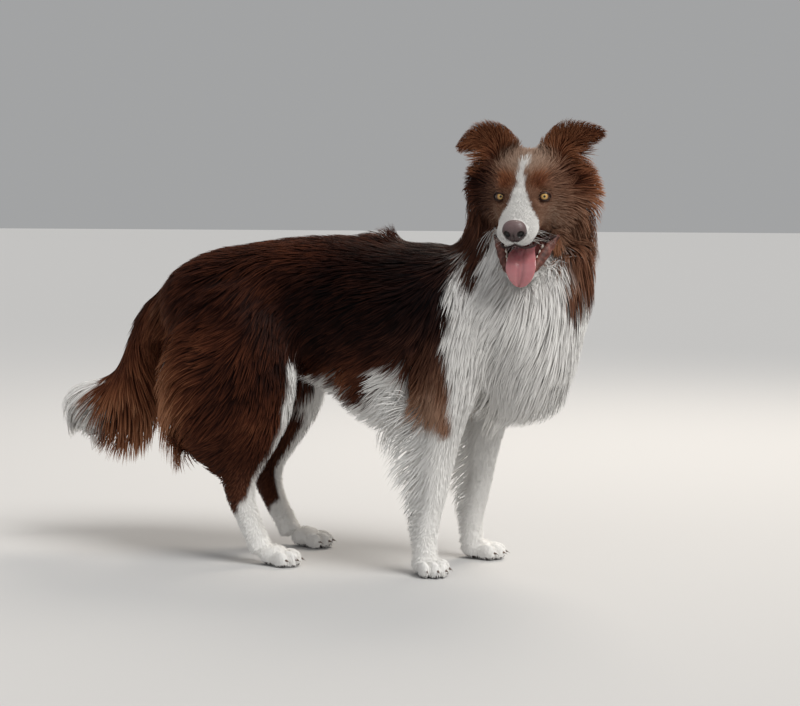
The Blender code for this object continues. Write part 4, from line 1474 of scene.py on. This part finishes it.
def coatColorGroup():
    # the brown of each tone, the white between its roots and tips, the brown with painted sheen and the white
    # with painted shade, and the marking
    tree, given, result = newGroup("coat colour", ("Color", "NodeSocketColor"), Tone=0.5, Pale=0.5, Dull=0.0,
                                   Marking=0.0)
    brown = ramp(tree, coatColors["brown"], given["Tone"])
    pale = mixColor(tree, given["Pale"], coatColors["whiteRoot"], coatColors["white"])
    dull = mixColor(tree, 1.0, brown, coatColors["dull"], "MULTIPLY")
    shadedPale = mixColor(tree, 1.0, pale, coatColors["shade"], "MULTIPLY")
    brown = mixColor(tree, given["Dull"], brown, dull)
    pale = mixColor(tree, given["Dull"], pale, shadedPale)
    feed(tree, result, mixColor(tree, given["Marking"], brown, pale))
    return tree


shaderGroups = {"mottle": mottleGroup(), "coat": coatColorGroup()}


def addGroup(tree, name, **inputs):
    return addNode(tree, "ShaderNodeGroup", {"node_tree": shaderGroups[name]}, **inputs).outputs[0]


def mottle(tree, scale, detail=3.0):
    return addGroup(tree, "mottle", Scale=scale, Detail=detail)


def fineHairs(tree, strand):
    # stripes along each lock, as if it were many hairs: a number about 0.5
    spot = addNode(tree, "ShaderNodeUVMap", {"uv_map": "lock"}).outputs["UV"]
    scaled = addNode(tree, "ShaderNodeMapping", Vector=spot, Scale=(9.0, 0.7, 1.0)).outputs["Vector"]
    apart = calculate(tree, "MULTIPLY", strand, 40.0)
    return addNode(tree, "ShaderNodeTexNoise", {"noise_dimensions": "4D"}, Vector=scaled, W=apart, Scale=1.0,
                   Detail=2.0).outputs["Fac"]


def newMaterial(name, **values):
    material = bpy.data.materials.new(name)
    material.use_nodes = True
    tree = material.node_tree
    shader = tree.nodes["Principled BSDF"]
    words = {"specular": "Specular IOR Level", "coat": "Coat Weight", "coatRoughness": "Coat Roughness",
             "roughness": "Roughness", "subsurface": "Subsurface Weight", "color": "Base Color"}
    for key, value in values.items():
        feed(tree, shader.inputs[words[key]], value)
    return material, tree, shader


def mottledMaterial(name, scale, first, second, **values):
    material, tree, shader = newMaterial(name, **values)
    feed(tree, shader.inputs["Base Color"], mixColor(tree, mottle(tree, scale), first, second))
    return material


def coatMaterial(name, onSkin):
    material, tree, shader = newMaterial(name, roughness=0.50, specular=0.05)
    tone = readAttribute(tree, "tone")
    if onSkin:
        tone = calculate(tree, "SUBTRACT", tone, 0.04, clamp=True)
        pale = 0.7
        normal = bump(tree, mottle(tree, 900.0), 0.3, 0.0008)
    else:
        strand = readAttribute(tree, "strand")
        along = readAttribute(tree, "along")
        stripes = fineHairs(tree, strand)
        lift = calculate(tree, "MULTIPLY_ADD", strand, 0.20, -0.31)
        lift = calculate(tree, "MULTIPLY_ADD", along, 0.12, lift)
        lift = calculate(tree, "MULTIPLY_ADD", stripes, 0.36, lift)
        tone = calculate(tree, "ADD", tone, lift, clamp=True)
        pale = calculate(tree, "MULTIPLY_ADD", along, 0.45, 0.30)
        pale = calculate(tree, "MULTIPLY_ADD", stripes, 0.5, pale, clamp=True)
        normal = bump(tree, stripes, 0.35, 0.0006)
    # painted sheen on the brown and painted shade on the white, as far as the attribute asks
    color = addGroup(tree, "coat", Tone=tone, Pale=pale, Dull=readAttribute(tree, "dull"),
                     Marking=readAttribute(tree, "marking"))
    if onSkin:
        for mask, bare in coatColors["bare"].items():
            color = mixColor(tree, readAttribute(tree, mask), color, bare)
    feed(tree, shader.inputs["Base Color"], color)
    feed(tree, shader.inputs["Normal"], normal)
    return material


for key in ("marking", "tone", "dull", "mouth", "rim", "sole"):
    addAttribute(skin.data, key, field[key])
skin.data.uv_layers.active.name = "OFBake"
skin.data.materials.append(coatMaterial("skin under the coat", True))
hair = coatMaterial("hair", False)
for piece in coat:
    piece.data.materials.append(hair)
report("coat coloured")


# Eyes.

eyeball = {
    "iris": 0.0064,  # radius of the coloured ring
    "bulge": 0.0007,  # how far the clear front stands out
    "colors": ((0.0, (0.004, 0.003, 0.003)), (0.27, (0.004, 0.003, 0.003)), (0.33, (0.60, 0.40, 0.13)),
               (0.62, (0.52, 0.29, 0.07)), (0.84, (0.26, 0.11, 0.03)), (0.97, (0.030, 0.014, 0.009)),
               (1.0, (0.060, 0.036, 0.027))),
}


lidFolds = (  # degrees past the opening's edge and height over the eyeball, round each fold
    (0, 0.0002), (-1.5, 0.0007), (0, 0.0012), (4, 0.0015), (9, 0.0013), (15, 0.0015), (24, 0.0013),
    (34, 0.0006), (34, 0.0002), (18, 0.0002))


def roundAbout(degreesRound, degreesUp):
    a, e = math.radians(degreesRound), math.radians(degreesUp)
    return np.array((math.sin(a) * math.cos(e), -math.cos(a) * math.cos(e), math.sin(e)))


def solidPiece(name, shape, material):
    mesh = meshFrom(name, *shape)
    turnOutward(mesh)
    mesh.shade_smooth()
    return newObject(name, mesh, material)


def eyeMaterial():
    material, tree, shader = newMaterial("eye", roughness=0.35, coat=0.7, coatRoughness=0.06, specular=0.3)
    spot = addNode(tree, "ShaderNodeAttribute", {"attribute_name": "eyeSpot"}).outputs["Vector"]
    apart = addNode(tree, "ShaderNodeSeparateXYZ", Vector=spot).outputs
    turn = calculate(tree, "ARCTAN2", apart["X"], apart["Y"])
    away = readAttribute(tree, "away")
    ray = addNode(tree, "ShaderNodeCombineXYZ", X=calculate(tree, "MULTIPLY", turn, 5.0),
                  Y=calculate(tree, "MULTIPLY", away, 1.6)).outputs[0]
    fibres = addNode(tree, "ShaderNodeTexNoise", Vector=ray, Scale=2.2, Detail=4.0).outputs["Fac"]
    shift = calculate(tree, "MULTIPLY_ADD", fibres, 0.16, -0.08)
    inRing = calculate(tree, "MULTIPLY", calculate(tree, "LESS_THAN", away, 0.93),
                       calculate(tree, "GREATER_THAN", away, 0.36))
    shift = calculate(tree, "MULTIPLY", shift, inRing)
    color = ramp(tree, eyeball["colors"], calculate(tree, "ADD", away, shift, clamp=True))
    feed(tree, shader.inputs["Base Color"], color)
    return material


def makeEye(node, material):
    place = middle(node)
    turn, up = eyes["gaze"][node]
    gaze = roundAbout(-turn, up)
    aside = unit(np.cross(gaze, upward))
    axes = np.array((aside, np.cross(aside, gaze), gaze))
    verts, faces = ballShape(np.zeros(3), (eyes["radius"],) * 3, None, 64, 48)
    away = np.hypot(verts[:, 0], verts[:, 1]) / eyeball["iris"]
    away[verts[:, 2] < 0] = 2
    verts[:, 2] += np.sqrt(np.maximum(1 - (away * 0.92) ** 2, 0)) * eyeball["bulge"]
    obj = solidPiece("eye" + node.split("_")[1].capitalize(), (place + verts @ axes, faces), material)
    addAttribute(obj.data, "away", np.minimum(away, 1.2))
    addAttribute(obj.data, "eyeSpot", verts)
    return obj


def makeLids():
    # a closed fold of skin round each opening
    material, tree, shader = newMaterial("lids", roughness=0.42, specular=0.25)
    color = mixColor(tree, mottle(tree, 500.0), (0.030, 0.012, 0.008), (0.085, 0.036, 0.022))
    color = mixColor(tree, readAttribute(tree, "edge"), color, (0.012, 0.007, 0.006))
    feed(tree, shader.inputs["Base Color"], color)
    shapes, edges = [], []
    count, each = 64, len(lidFolds)
    for node in ("eye_right", "eye_left"):
        place, outward, aside, up = lidFrame(node)
        outline = lidOutline(count)
        away = np.arcsin(np.linalg.norm(outline, axis=1) / (eyes["radius"] + 0.0009))
        across = unit(outline[:, :1] * aside + outline[:, 1:] * up)
        points = []
        for degrees, height in lidFolds:
            turn = (away + math.radians(degrees))[:, None]
            way = outward * np.cos(turn) + across * np.sin(turn)
            points.append(place + way * (eyes["radius"] + height))
        shapes.append((np.stack(points, axis=1).reshape(-1, 3), ringFaces(count, each, True)))
        edges.append(np.tile([1, 1, 1, 0.7, 0.1] + [0] * (each - 5), count))
    obj = solidPiece("lids", joinShapes(shapes), material)
    addAttribute(obj.data, "edge", np.concatenate(edges))
    return obj


# Nose, mouth, tongue and teeth.

noseShape = {
    "half": (0.0186, 0.0135, 0.0172),
    "nostril": (0.0104, -0.0022),  # aside and up of the nose's middle
    "hollow": 0.0085,
    # darkest and lightest leather, spread by painted shade
    "colors": ((0.030, 0.014, 0.014), (0.150, 0.098, 0.098)),
}


def makeNose():
    material, tree, shader = newMaterial("nose leather", roughness=0.36, specular=0.45, coat=0.15)
    shade = readAttribute(tree, "shade")
    blots = calculate(tree, "MULTIPLY_ADD", mottle(tree, 260.0), 0.5, -0.25)
    # painted shade: the leather is darker toward its underside and in the groove under the nostrils
    color = mixColor(tree, calculate(tree, "ADD", shade, blots, clamp=True), *noseShape["colors"])
    # painted shade: near-black in the nostril hollows
    color = mixColor(tree, readAttribute(tree, "hollow"), color, (0.004, 0.002, 0.002))
    feed(tree, shader.inputs["Base Color"], color)
    spot = addNode(tree, "ShaderNodeTexCoord").outputs["Object"]
    pebbles = addNode(tree, "ShaderNodeTexVoronoi", Vector=spot, Scale=1150.0).outputs["Distance"]
    feed(tree, shader.inputs["Normal"], bump(tree, pebbles, 0.45, 0.0005))
    verts, faces = ballShape(np.zeros(3), (1, 1, 1), None, 96, 64)
    x, z, ahead = verts.T
    # squarer than a ball, wide above and narrow below
    x = np.sign(x) * np.abs(x) ** 0.86
    z = np.sign(z) * np.abs(z) ** 0.88
    x = x * (1 - 0.24 * smoothstep(0.15, -1.0, z))
    y = np.where(ahead > 0, np.abs(ahead) ** 0.82, ahead)
    y = y - 0.22 * smoothstep(0.2, -1.0, z) * (y > 0)
    points = np.stack((x, y, z), axis=1) * noseShape["half"]
    side, high = noseShape["nostril"]
    dx, dz = np.abs(points[:, 0]) - side, points[:, 2] - high
    front = smoothstep(0.1, 0.5, ahead)
    hole = np.exp(-((dx / 0.0050) ** 2 + ((dz - 0.15 * dx) / 0.0052) ** 2) ** 1.6)
    slit = np.exp(-(((dx - 0.0056) / 0.0062) ** 2 + ((dz + 0.0022 + 0.28 * dx) / 0.0017) ** 2))
    hollow = np.maximum(hole, 0.62 * slit) * front
    groove = np.exp(-(points[:, 0] / 0.0011) ** 2) * smoothstep(0.002, -0.004, points[:, 2]) * front
    wing = np.exp(-(((dx - 0.0005) / 0.0068) ** 2 + (dz / 0.0078) ** 2)) * front
    points[:, 1] += 0.0016 * wing - noseShape["hollow"] * hollow - 0.0016 * groove
    place = middle("nose") - headAhead * 0.0002
    obj = solidPiece("nose", (place + points @ headAxes, faces), material)
    # painted shade, darker toward the bottom of the nose and in its groove
    shade = smoothstep(-0.6, 0.9, points[:, 2] / noseShape["half"][2]) - 0.6 * groove
    addAttribute(obj.data, "shade", shade)
    addAttribute(obj.data, "hollow", smoothstep(0.22, 0.50, hollow))
    return obj


lipRows = {  # left, ahead, up, half width, thickness to either side, of one side from the corner
    "lower": [
        (0.0490, -0.014, -0.0690, 0.0028, 0.0022, 0.0022),
        (0.0440, -0.003, -0.0730, 0.0054, 0.0026, 0.0024),
        (0.0390, 0.008, -0.0790, 0.0072, 0.0028, 0.0026),
        (0.0340, 0.020, -0.0855, 0.0080, 0.0028, 0.0026),
        (0.0292, 0.032, -0.0915, 0.0076, 0.0028, 0.0026),
        (0.0250, 0.043, -0.0970, 0.0062, 0.0026, 0.0024),
        (0.0205, 0.0530, -0.1020, 0.0046, 0.0024, 0.0024),
        (0.0130, 0.0598, -0.1055, 0.0034, 0.0022, 0.0022),
        (0.0000, 0.0628, -0.1070, 0.0030, 0.0022, 0.0022),
    ],
    "upper": [
        (0.0480, -0.012, -0.0690, 0.0022, 0.0022, 0.0022),
        (0.0400, 0.006, -0.0645, 0.0020, 0.0022, 0.0024),
        (0.0315, 0.024, -0.0612, 0.0018, 0.0020, 0.0024),
        (0.0270, 0.044, -0.0598, 0.0016, 0.0018, 0.0024),
        (0.0238, 0.064, -0.0596, 0.0015, 0.0016, 0.0022),
        (0.0130, 0.0785, -0.0572, 0.0014, 0.0014, 0.0018),
        (0.0000, 0.0838, -0.0512, 0.0012, 0.0014, 0.0016),
    ],
}
lipColors = ((0.34, (0.055, 0.020, 0.015)), (0.52, (0.13, 0.048, 0.036)), (0.70, (0.24, 0.095, 0.075)))
lipFacing = {"lower": (0.55, 0.60, 0.58), "upper": (0, 0, 1)}
tongueRows = [
    (0.001, -0.012, -0.0860, 0.0150, 0.0035, 0.0035),
    (0.001, 0.010, -0.0820, 0.0165, 0.0040, 0.0040),
    (0.002, 0.030, -0.0800, 0.0185, 0.0042, 0.0042),
    (0.003, 0.048, -0.0805, 0.0205, 0.0042, 0.0042),
    (0.0048, 0.0635, -0.0850, 0.0224, 0.0040, 0.0040),
    (0.0052, 0.0720, -0.0935, 0.0230, 0.0036, 0.0036),
    (0.0044, 0.0765, -0.1030, 0.0206, 0.0032, 0.0032),
    (0.0030, 0.0785, -0.1110, 0.0158, 0.0027, 0.0027),
    (0.0020, 0.0790, -0.1165, 0.0100, 0.0022, 0.0022),
    (0.0015, 0.0790, -0.1195, 0.0045, 0.0016, 0.0016),
]
teethRows = [  # left, ahead, up, radius, height, of one side's lower teeth from the front
    (0.0030, 0.0590, -0.1040, 0.0017, 0.0052),
    (0.0082, 0.0575, -0.1040, 0.0018, 0.0056),
    (0.0130, 0.0545, -0.1020, 0.0019, 0.0060),
    (0.0198, 0.0460, -0.0970, 0.0025, 0.0120),
    (0.0232, 0.0350, -0.0900, 0.0018, 0.0058),
    (0.0258, 0.0240, -0.0850, 0.0020, 0.0060),
    (0.0286, 0.0125, -0.0795, 0.0022, 0.0060),
]


def makeLips():
    material, tree, shader = newMaterial("lips", roughness=0.50, specular=0.25)
    color = ramp(tree, lipColors, mottle(tree, 120.0, 2.0))
    color = mixColor(tree, readAttribute(tree, "dark"), color, (0.018, 0.009, 0.009))
    feed(tree, shader.inputs["Base Color"], color)
    feed(tree, shader.inputs["Normal"], bump(tree, mottle(tree, 500.0), 0.4, 0.0006))
    shapes, dark = [], []
    for name, rows in lipRows.items():
        for side in (-1, 1):
            facing = (np.array(lipFacing[name]) * (side, 1, 1)) @ headAxes
            line = tubeLine([(side * row[0], *row[1:]) for row in rows], facing, fromHead, 8)
            if name == "lower":
                scallop = np.sin(np.linspace(0, 6 * math.tau, len(line["rows"])))
                line["rows"][:, 3] *= 1 + 0.07 * scallop
                line["rows"][:, 4] *= 1.5 + 0.22 * scallop
            shapes.append(tubeShape(line, 14))
            dark.append(np.full(len(shapes[-1][0]), 0.9 if name == "upper" else 0.0))
    obj = solidPiece("lips", joinShapes(shapes), material)
    addAttribute(obj.data, "dark", np.concatenate(dark))
    return obj


def makeTongue():
    material, tree, shader = newMaterial("tongue", roughness=0.24, specular=0.5, coat=0.45, subsurface=0.08)
    groove = readAttribute(tree, "groove")
    # painted shade: darker along the groove down the middle
    color = mixColor(tree, groove, (0.44, 0.150, 0.165), (0.14, 0.028, 0.040))
    color = mixColor(tree, calculate(tree, "MULTIPLY", mottle(tree, 150.0), 0.35), color, (0.60, 0.30, 0.30))
    feed(tree, shader.inputs["Base Color"], color)
    feed(tree, shader.inputs["Normal"], bump(tree, mottle(tree, 1500.0, 1.0), 0.35, 0.0004))
    line = tubeLine(tongueRows, headUp + 0.9 * headAhead, fromHead, 8)
    verts, faces = tubeShape(line, 40)
    count = len(line["rows"])
    turn = np.tile(math.tau * np.arange(40) / 40, count)
    row = np.repeat(np.arange(count), 40)
    across = np.cos(turn)
    upper = np.maximum(np.sin(turn), 0)
    wide = line["rows"][row, 3]
    dent = 0.0042 * np.exp(-(across / 0.22) ** 2) * upper
    dent -= 0.0014 * np.exp(-(across / 0.06) ** 2) * upper
    cup = 0.16 * wide * across ** 2
    verts[:count * 40] += line["front"][row] * (cup - dent)[:, None]
    obj = solidPiece("tongue", (verts, faces), material)
    # the painted shade of the groove, less on the ridge in its middle
    shade = (np.exp(-(across / 0.16) ** 2) - 0.9 * np.exp(-(across / 0.05) ** 2)) * upper
    addAttribute(obj.data, "groove", np.clip(np.append(shade, (0, 0)), 0, 1))
    return obj


def makeTeeth():
    material = mottledMaterial("teeth", 300.0, (0.72, 0.66, 0.54), (0.86, 0.83, 0.76), roughness=0.22,
                               specular=0.5, coat=0.2)
    shapes = []
    for left, ahead, up, size, high in teethRows:
        for side in (-1, 1):
            rows = [
                (side * left, ahead, up - 0.004, size, size, size),
                (side * left, ahead, up + 0.2 * high, size, size, size),
                (side * (left + 0.0006), ahead, up + 0.65 * high, 0.66 * size, 0.7 * size, 0.6 * size),
                (side * (left + 0.0010), ahead - 0.0008, up + high, 0.18 * size, 0.2 * size, 0.2 * size),
            ]
            shapes.append(tubeShape(tubeLine(rows, headAhead, fromHead, 4), 10))
    return solidPiece("teeth", joinShapes(shapes), material)


# Claws and whiskers, repeated along their roots.

claws = {"length": 0.0098, "radius": 0.0024, "droop": 0.0042}
whiskers = {"seed": 5, "count": 11, "length": (0.022, 0.044), "radius": 0.0002, "droop": 0.0077}


def newTree(name, **inputs):
    tree = bpy.data.node_groups.new(name, "GeometryNodeTree")
    tree.interface.new_socket("Geometry", in_out="INPUT", socket_type="NodeSocketGeometry")
    for key, value in inputs.items():
        kind = "NodeSocketMaterial" if value is None else "NodeSocketFloat"
        socket = tree.interface.new_socket(key, in_out="INPUT", socket_type=kind)
        if value is not None:
            socket.default_value = value
    tree.interface.new_socket("Geometry", in_out="OUTPUT", socket_type="NodeSocketGeometry")
    return tree, tree.nodes.new("NodeGroupInput"), tree.nodes.new("NodeGroupOutput")


def namedField(tree, name, kind):
    node = addNode(tree, "GeometryNodeInputNamedAttribute", {"data_type": kind}, Name=name)
    return node.outputs["Attribute"]


def runTree(name, points, values, tree, **inputs):
    # a mesh of points with their own values, passed through a tree and made plain
    mesh = bpy.data.meshes.new(name)
    mesh.from_pydata([tuple(point) for point in points], [], [])
    for key, value in values.items():
        addAttribute(mesh, key, value)
    obj = newObject(name, mesh)
    addStep(obj, "NODES", node_group=tree)
    for item in tree.interface.items_tree:
        if item.in_out == "INPUT" and item.name in inputs:
            obj.modifiers[0][item.identifier] = inputs[item.name]
    return settle(obj)


def growTree(name, bendDown, sides):
    # a tapering curved spike on each point, along its own way
    tree, given, out = newTree(name, radius=0.001, droop=0.1, material=None)
    line = addNode(tree, "GeometryNodeCurvePrimitiveLine", Start=(0, 0, 0), End=(0, 0, 1)).outputs[0]
    line = addNode(tree, "GeometryNodeResampleCurve", Curve=line, Count=9).outputs[0]
    turn = addNode(tree, "FunctionNodeAlignRotationToVector", {"axis": "Z"},
                   Vector=namedField(tree, "way", "FLOAT_VECTOR")).outputs[0]
    many = addNode(tree, "GeometryNodeInstanceOnPoints", Points=given.outputs["Geometry"], Instance=line,
                   Rotation=turn, Scale=namedField(tree, "size", "FLOAT")).outputs[0]
    real = addNode(tree, "GeometryNodeRealizeInstances", Geometry=many).outputs[0]
    along = addNode(tree, "GeometryNodeSplineParameter").outputs["Factor"]
    drop = calculate(tree, "MULTIPLY", calculate(tree, "POWER", along, bendDown), given.outputs["droop"])
    down = addNode(tree, "ShaderNodeCombineXYZ", Z=drop).outputs[0]
    bent = addNode(tree, "GeometryNodeSetPosition", Geometry=real, Offset=down).outputs[0]
    taper = addNode(tree, "ShaderNodeMapRange", {"interpolation_type": "SMOOTHERSTEP"}, Value=along)
    for key, value in (("From Min", -0.35), ("From Max", 1.0), ("To Min", 1.12), ("To Max", 0.06)):
        feed(tree, taper.inputs[key], value)
    radius = calculate(tree, "MULTIPLY", taper.outputs[0], given.outputs["radius"])
    ring = addNode(tree, "GeometryNodeCurvePrimitiveCircle", Resolution=sides, Radius=1.0).outputs[0]
    tube = addNode(tree, "GeometryNodeCurveToMesh", Curve=bent, Scale=radius)
    feed(tree, tube.inputs["Profile Curve"], ring)
    feed(tree, tube.inputs["Fill Caps"], True)
    smooth = addNode(tree, "GeometryNodeSetShadeSmooth", Geometry=tube.outputs[0]).outputs[0]
    real = addNode(tree, "GeometryNodeRealizeInstances", Geometry=smooth).outputs[0]
    coloured = addNode(tree, "GeometryNodeSetMaterial", Geometry=real, Material=given.outputs["material"])
    feed(tree, out.inputs[0], coloured.outputs[0])
    return tree


def clawNodes():
    return sorted(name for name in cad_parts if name.startswith("claw"))


def makeClaws():
    material = mottledMaterial("claw", 240.0, (0.055, 0.035, 0.028), (0.20, 0.14, 0.11), roughness=0.38,
                               specular=0.45)
    roots, ways = [], []
    for paw in paws.values():
        for place, angle in toePlaces(*paw)[1]:
            way = np.array((math.sin(angle), -math.cos(angle), 0))
            near = min(clawNodes(), key=lambda node: np.linalg.norm(middle(node) - place - way * 0.02))
            root = middle(near) - way * 0.0075
            root[2] = 0.0128
            roots.append(root)
            ways.append(way + (0, 0, 0.10))
    values = {"way": unit(ways), "size": np.full(len(roots), claws["length"])}
    return runTree("claws", roots, values, growTree("claw", 1.8, 10), radius=claws["radius"],
                   droop=-claws["droop"], material=material)


def makeWhiskers():
    material = mottledMaterial("whisker", 90.0, (0.70, 0.66, 0.60), (0.90, 0.88, 0.85), roughness=0.4)
    rng = np.random.default_rng(whiskers["seed"])
    roots, ways, lengths = [], [], []
    for side in (-1, 1):
        for _ in range(whiskers["count"]):
            aim = fromHead((side * 0.10, rng.uniform(0.036, 0.070), rng.uniform(-0.054, -0.038)))
            spot, normal, _, _ = ownSurface.ray_cast(Vector(aim), Vector(-side * headLeft), 0.2)
            if spot is None:
                continue
            roots.append(np.array(spot) - np.array(normal) * 0.001)
            way = (side * rng.uniform(0.7, 1.0), rng.uniform(-0.55, 0.1), rng.uniform(-0.45, 0.05))
            ways.append(way @ headAxes)
            lengths.append(rng.uniform(*whiskers["length"]))
    values = {"way": unit(ways), "size": lengths}
    return runTree("whiskers", roots, values, growTree("whisker", 1.5, 5), radius=whiskers["radius"],
                   droop=-whiskers["droop"], material=material)


eyeLook = eyeMaterial()
eyePieces = [makeEye(node, eyeLook) for node in ("eye_right", "eye_left")]
lids = makeLids()
nose = makeNose()
lips = makeLips()
tongue = makeTongue()
teeth = makeTeeth()
clawPiece = makeClaws()
whiskerPiece = makeWhiskers()
report("face and claws made")

whitePieces = ("coatForelegLeft", "coatForelegRight", "coatPaws", "coatNeckLeft", "coatNeckRight")
slots = [(piece, "coat_white" if piece.name in whitePieces else "coat_brown") for piece in coat]
slots += [(skin, "coat_brown"), (eyePieces[0], "eye"), (eyePieces[1], "eye"), (lids, "nose_leather")]
slots += [(nose, "nose_leather"), (lips, "tongue"), (tongue, "tongue"), (teeth, "claw")]
slots += [(clawPiece, "claw"), (whiskerPiece, "coat_white")]
for piece, slot in slots:
    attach(piece, "root")
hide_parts(*fleshNodes)
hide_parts("eye_right")
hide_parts("eye_left")
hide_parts("nose")
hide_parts("tongue")
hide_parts(*clawNodes())

# The floor, the light and the camera.

camera = {
    "turn": 70,  # degrees round from the dog's front toward its right side
    "distance": 3.158,
    "height": 0.5944,
    "down": 4.548,
    "lens": 87.98,
}
lamps = {  # degrees round and up, power, colour, then how far away and how wide each disk is
    "fill": (-120, 25, 5, (0.96, 0.98, 1.0), 3.6, 3.0),
    "rim": (80, 45, 46, (1.0, 0.90, 0.78), 3.0, 1.8),
    "sky": (-22, 50, 2.35, (1.0, 0.985, 0.955), 0, 0),  # a soft sun
}
skyLight = {"strength": 0.37, "color": (0.98, 0.99, 1.0), "softness": 32}
floorLook = {"half": 30, "color": (0.60, 0.595, 0.59), "roughness": 0.8}


def addToScene(name, data):
    obj = bpy.data.objects.new(name, data)
    bpy.context.scene.collection.objects.link(obj)
    return obj


def addStudio():
    scene = bpy.context.scene
    data = bpy.data.cameras.new("camera")
    data.lens = camera["lens"]
    data.sensor_width = 36
    data.clip_end = 60
    eye = addToScene("camera", data)
    eye.location = dogPlace + roundAbout(-camera["turn"], 0) * camera["distance"] + upward * camera["height"]
    eye.rotation_euler = (math.radians(90 - camera["down"]), 0, math.radians(-camera["turn"]))
    scene.camera = eye
    for name, (turn, up, power, color, distance, size) in lamps.items():
        data = bpy.data.lights.new(name, "AREA" if size else "SUN")
        data.energy = power
        data.color = color
        if size:
            data.shape = "DISK"
            data.size = size
        else:
            data.angle = math.radians(skyLight["softness"])
        way = roundAbout(turn, up)
        lamp = addToScene(name, data)
        lamp.location = dogPlace + (0, 0.1, 0.36) + way * distance
        lamp.rotation_euler = Vector(-way).to_track_quat("-Z", "Y").to_euler()
    world = bpy.data.worlds.new("studio")
    world.use_nodes = True
    background = world.node_tree.nodes["Background"]
    background.inputs["Color"].default_value = (*skyLight["color"], 1)
    background.inputs["Strength"].default_value = skyLight["strength"]
    scene.world = world
    scene.view_settings.view_transform = "Standard"
    half = floorLook["half"]
    corners = [(-half, -half, 0), (half, -half, 0), (half, half, 0), (-half, half, 0)]
    material = newMaterial("floor", color=floorLook["color"], roughness=floorLook["roughness"])[0]
    return newObject("floor", meshFrom("floor", corners, [(0, 1, 2, 3)]), material)


addStudio()
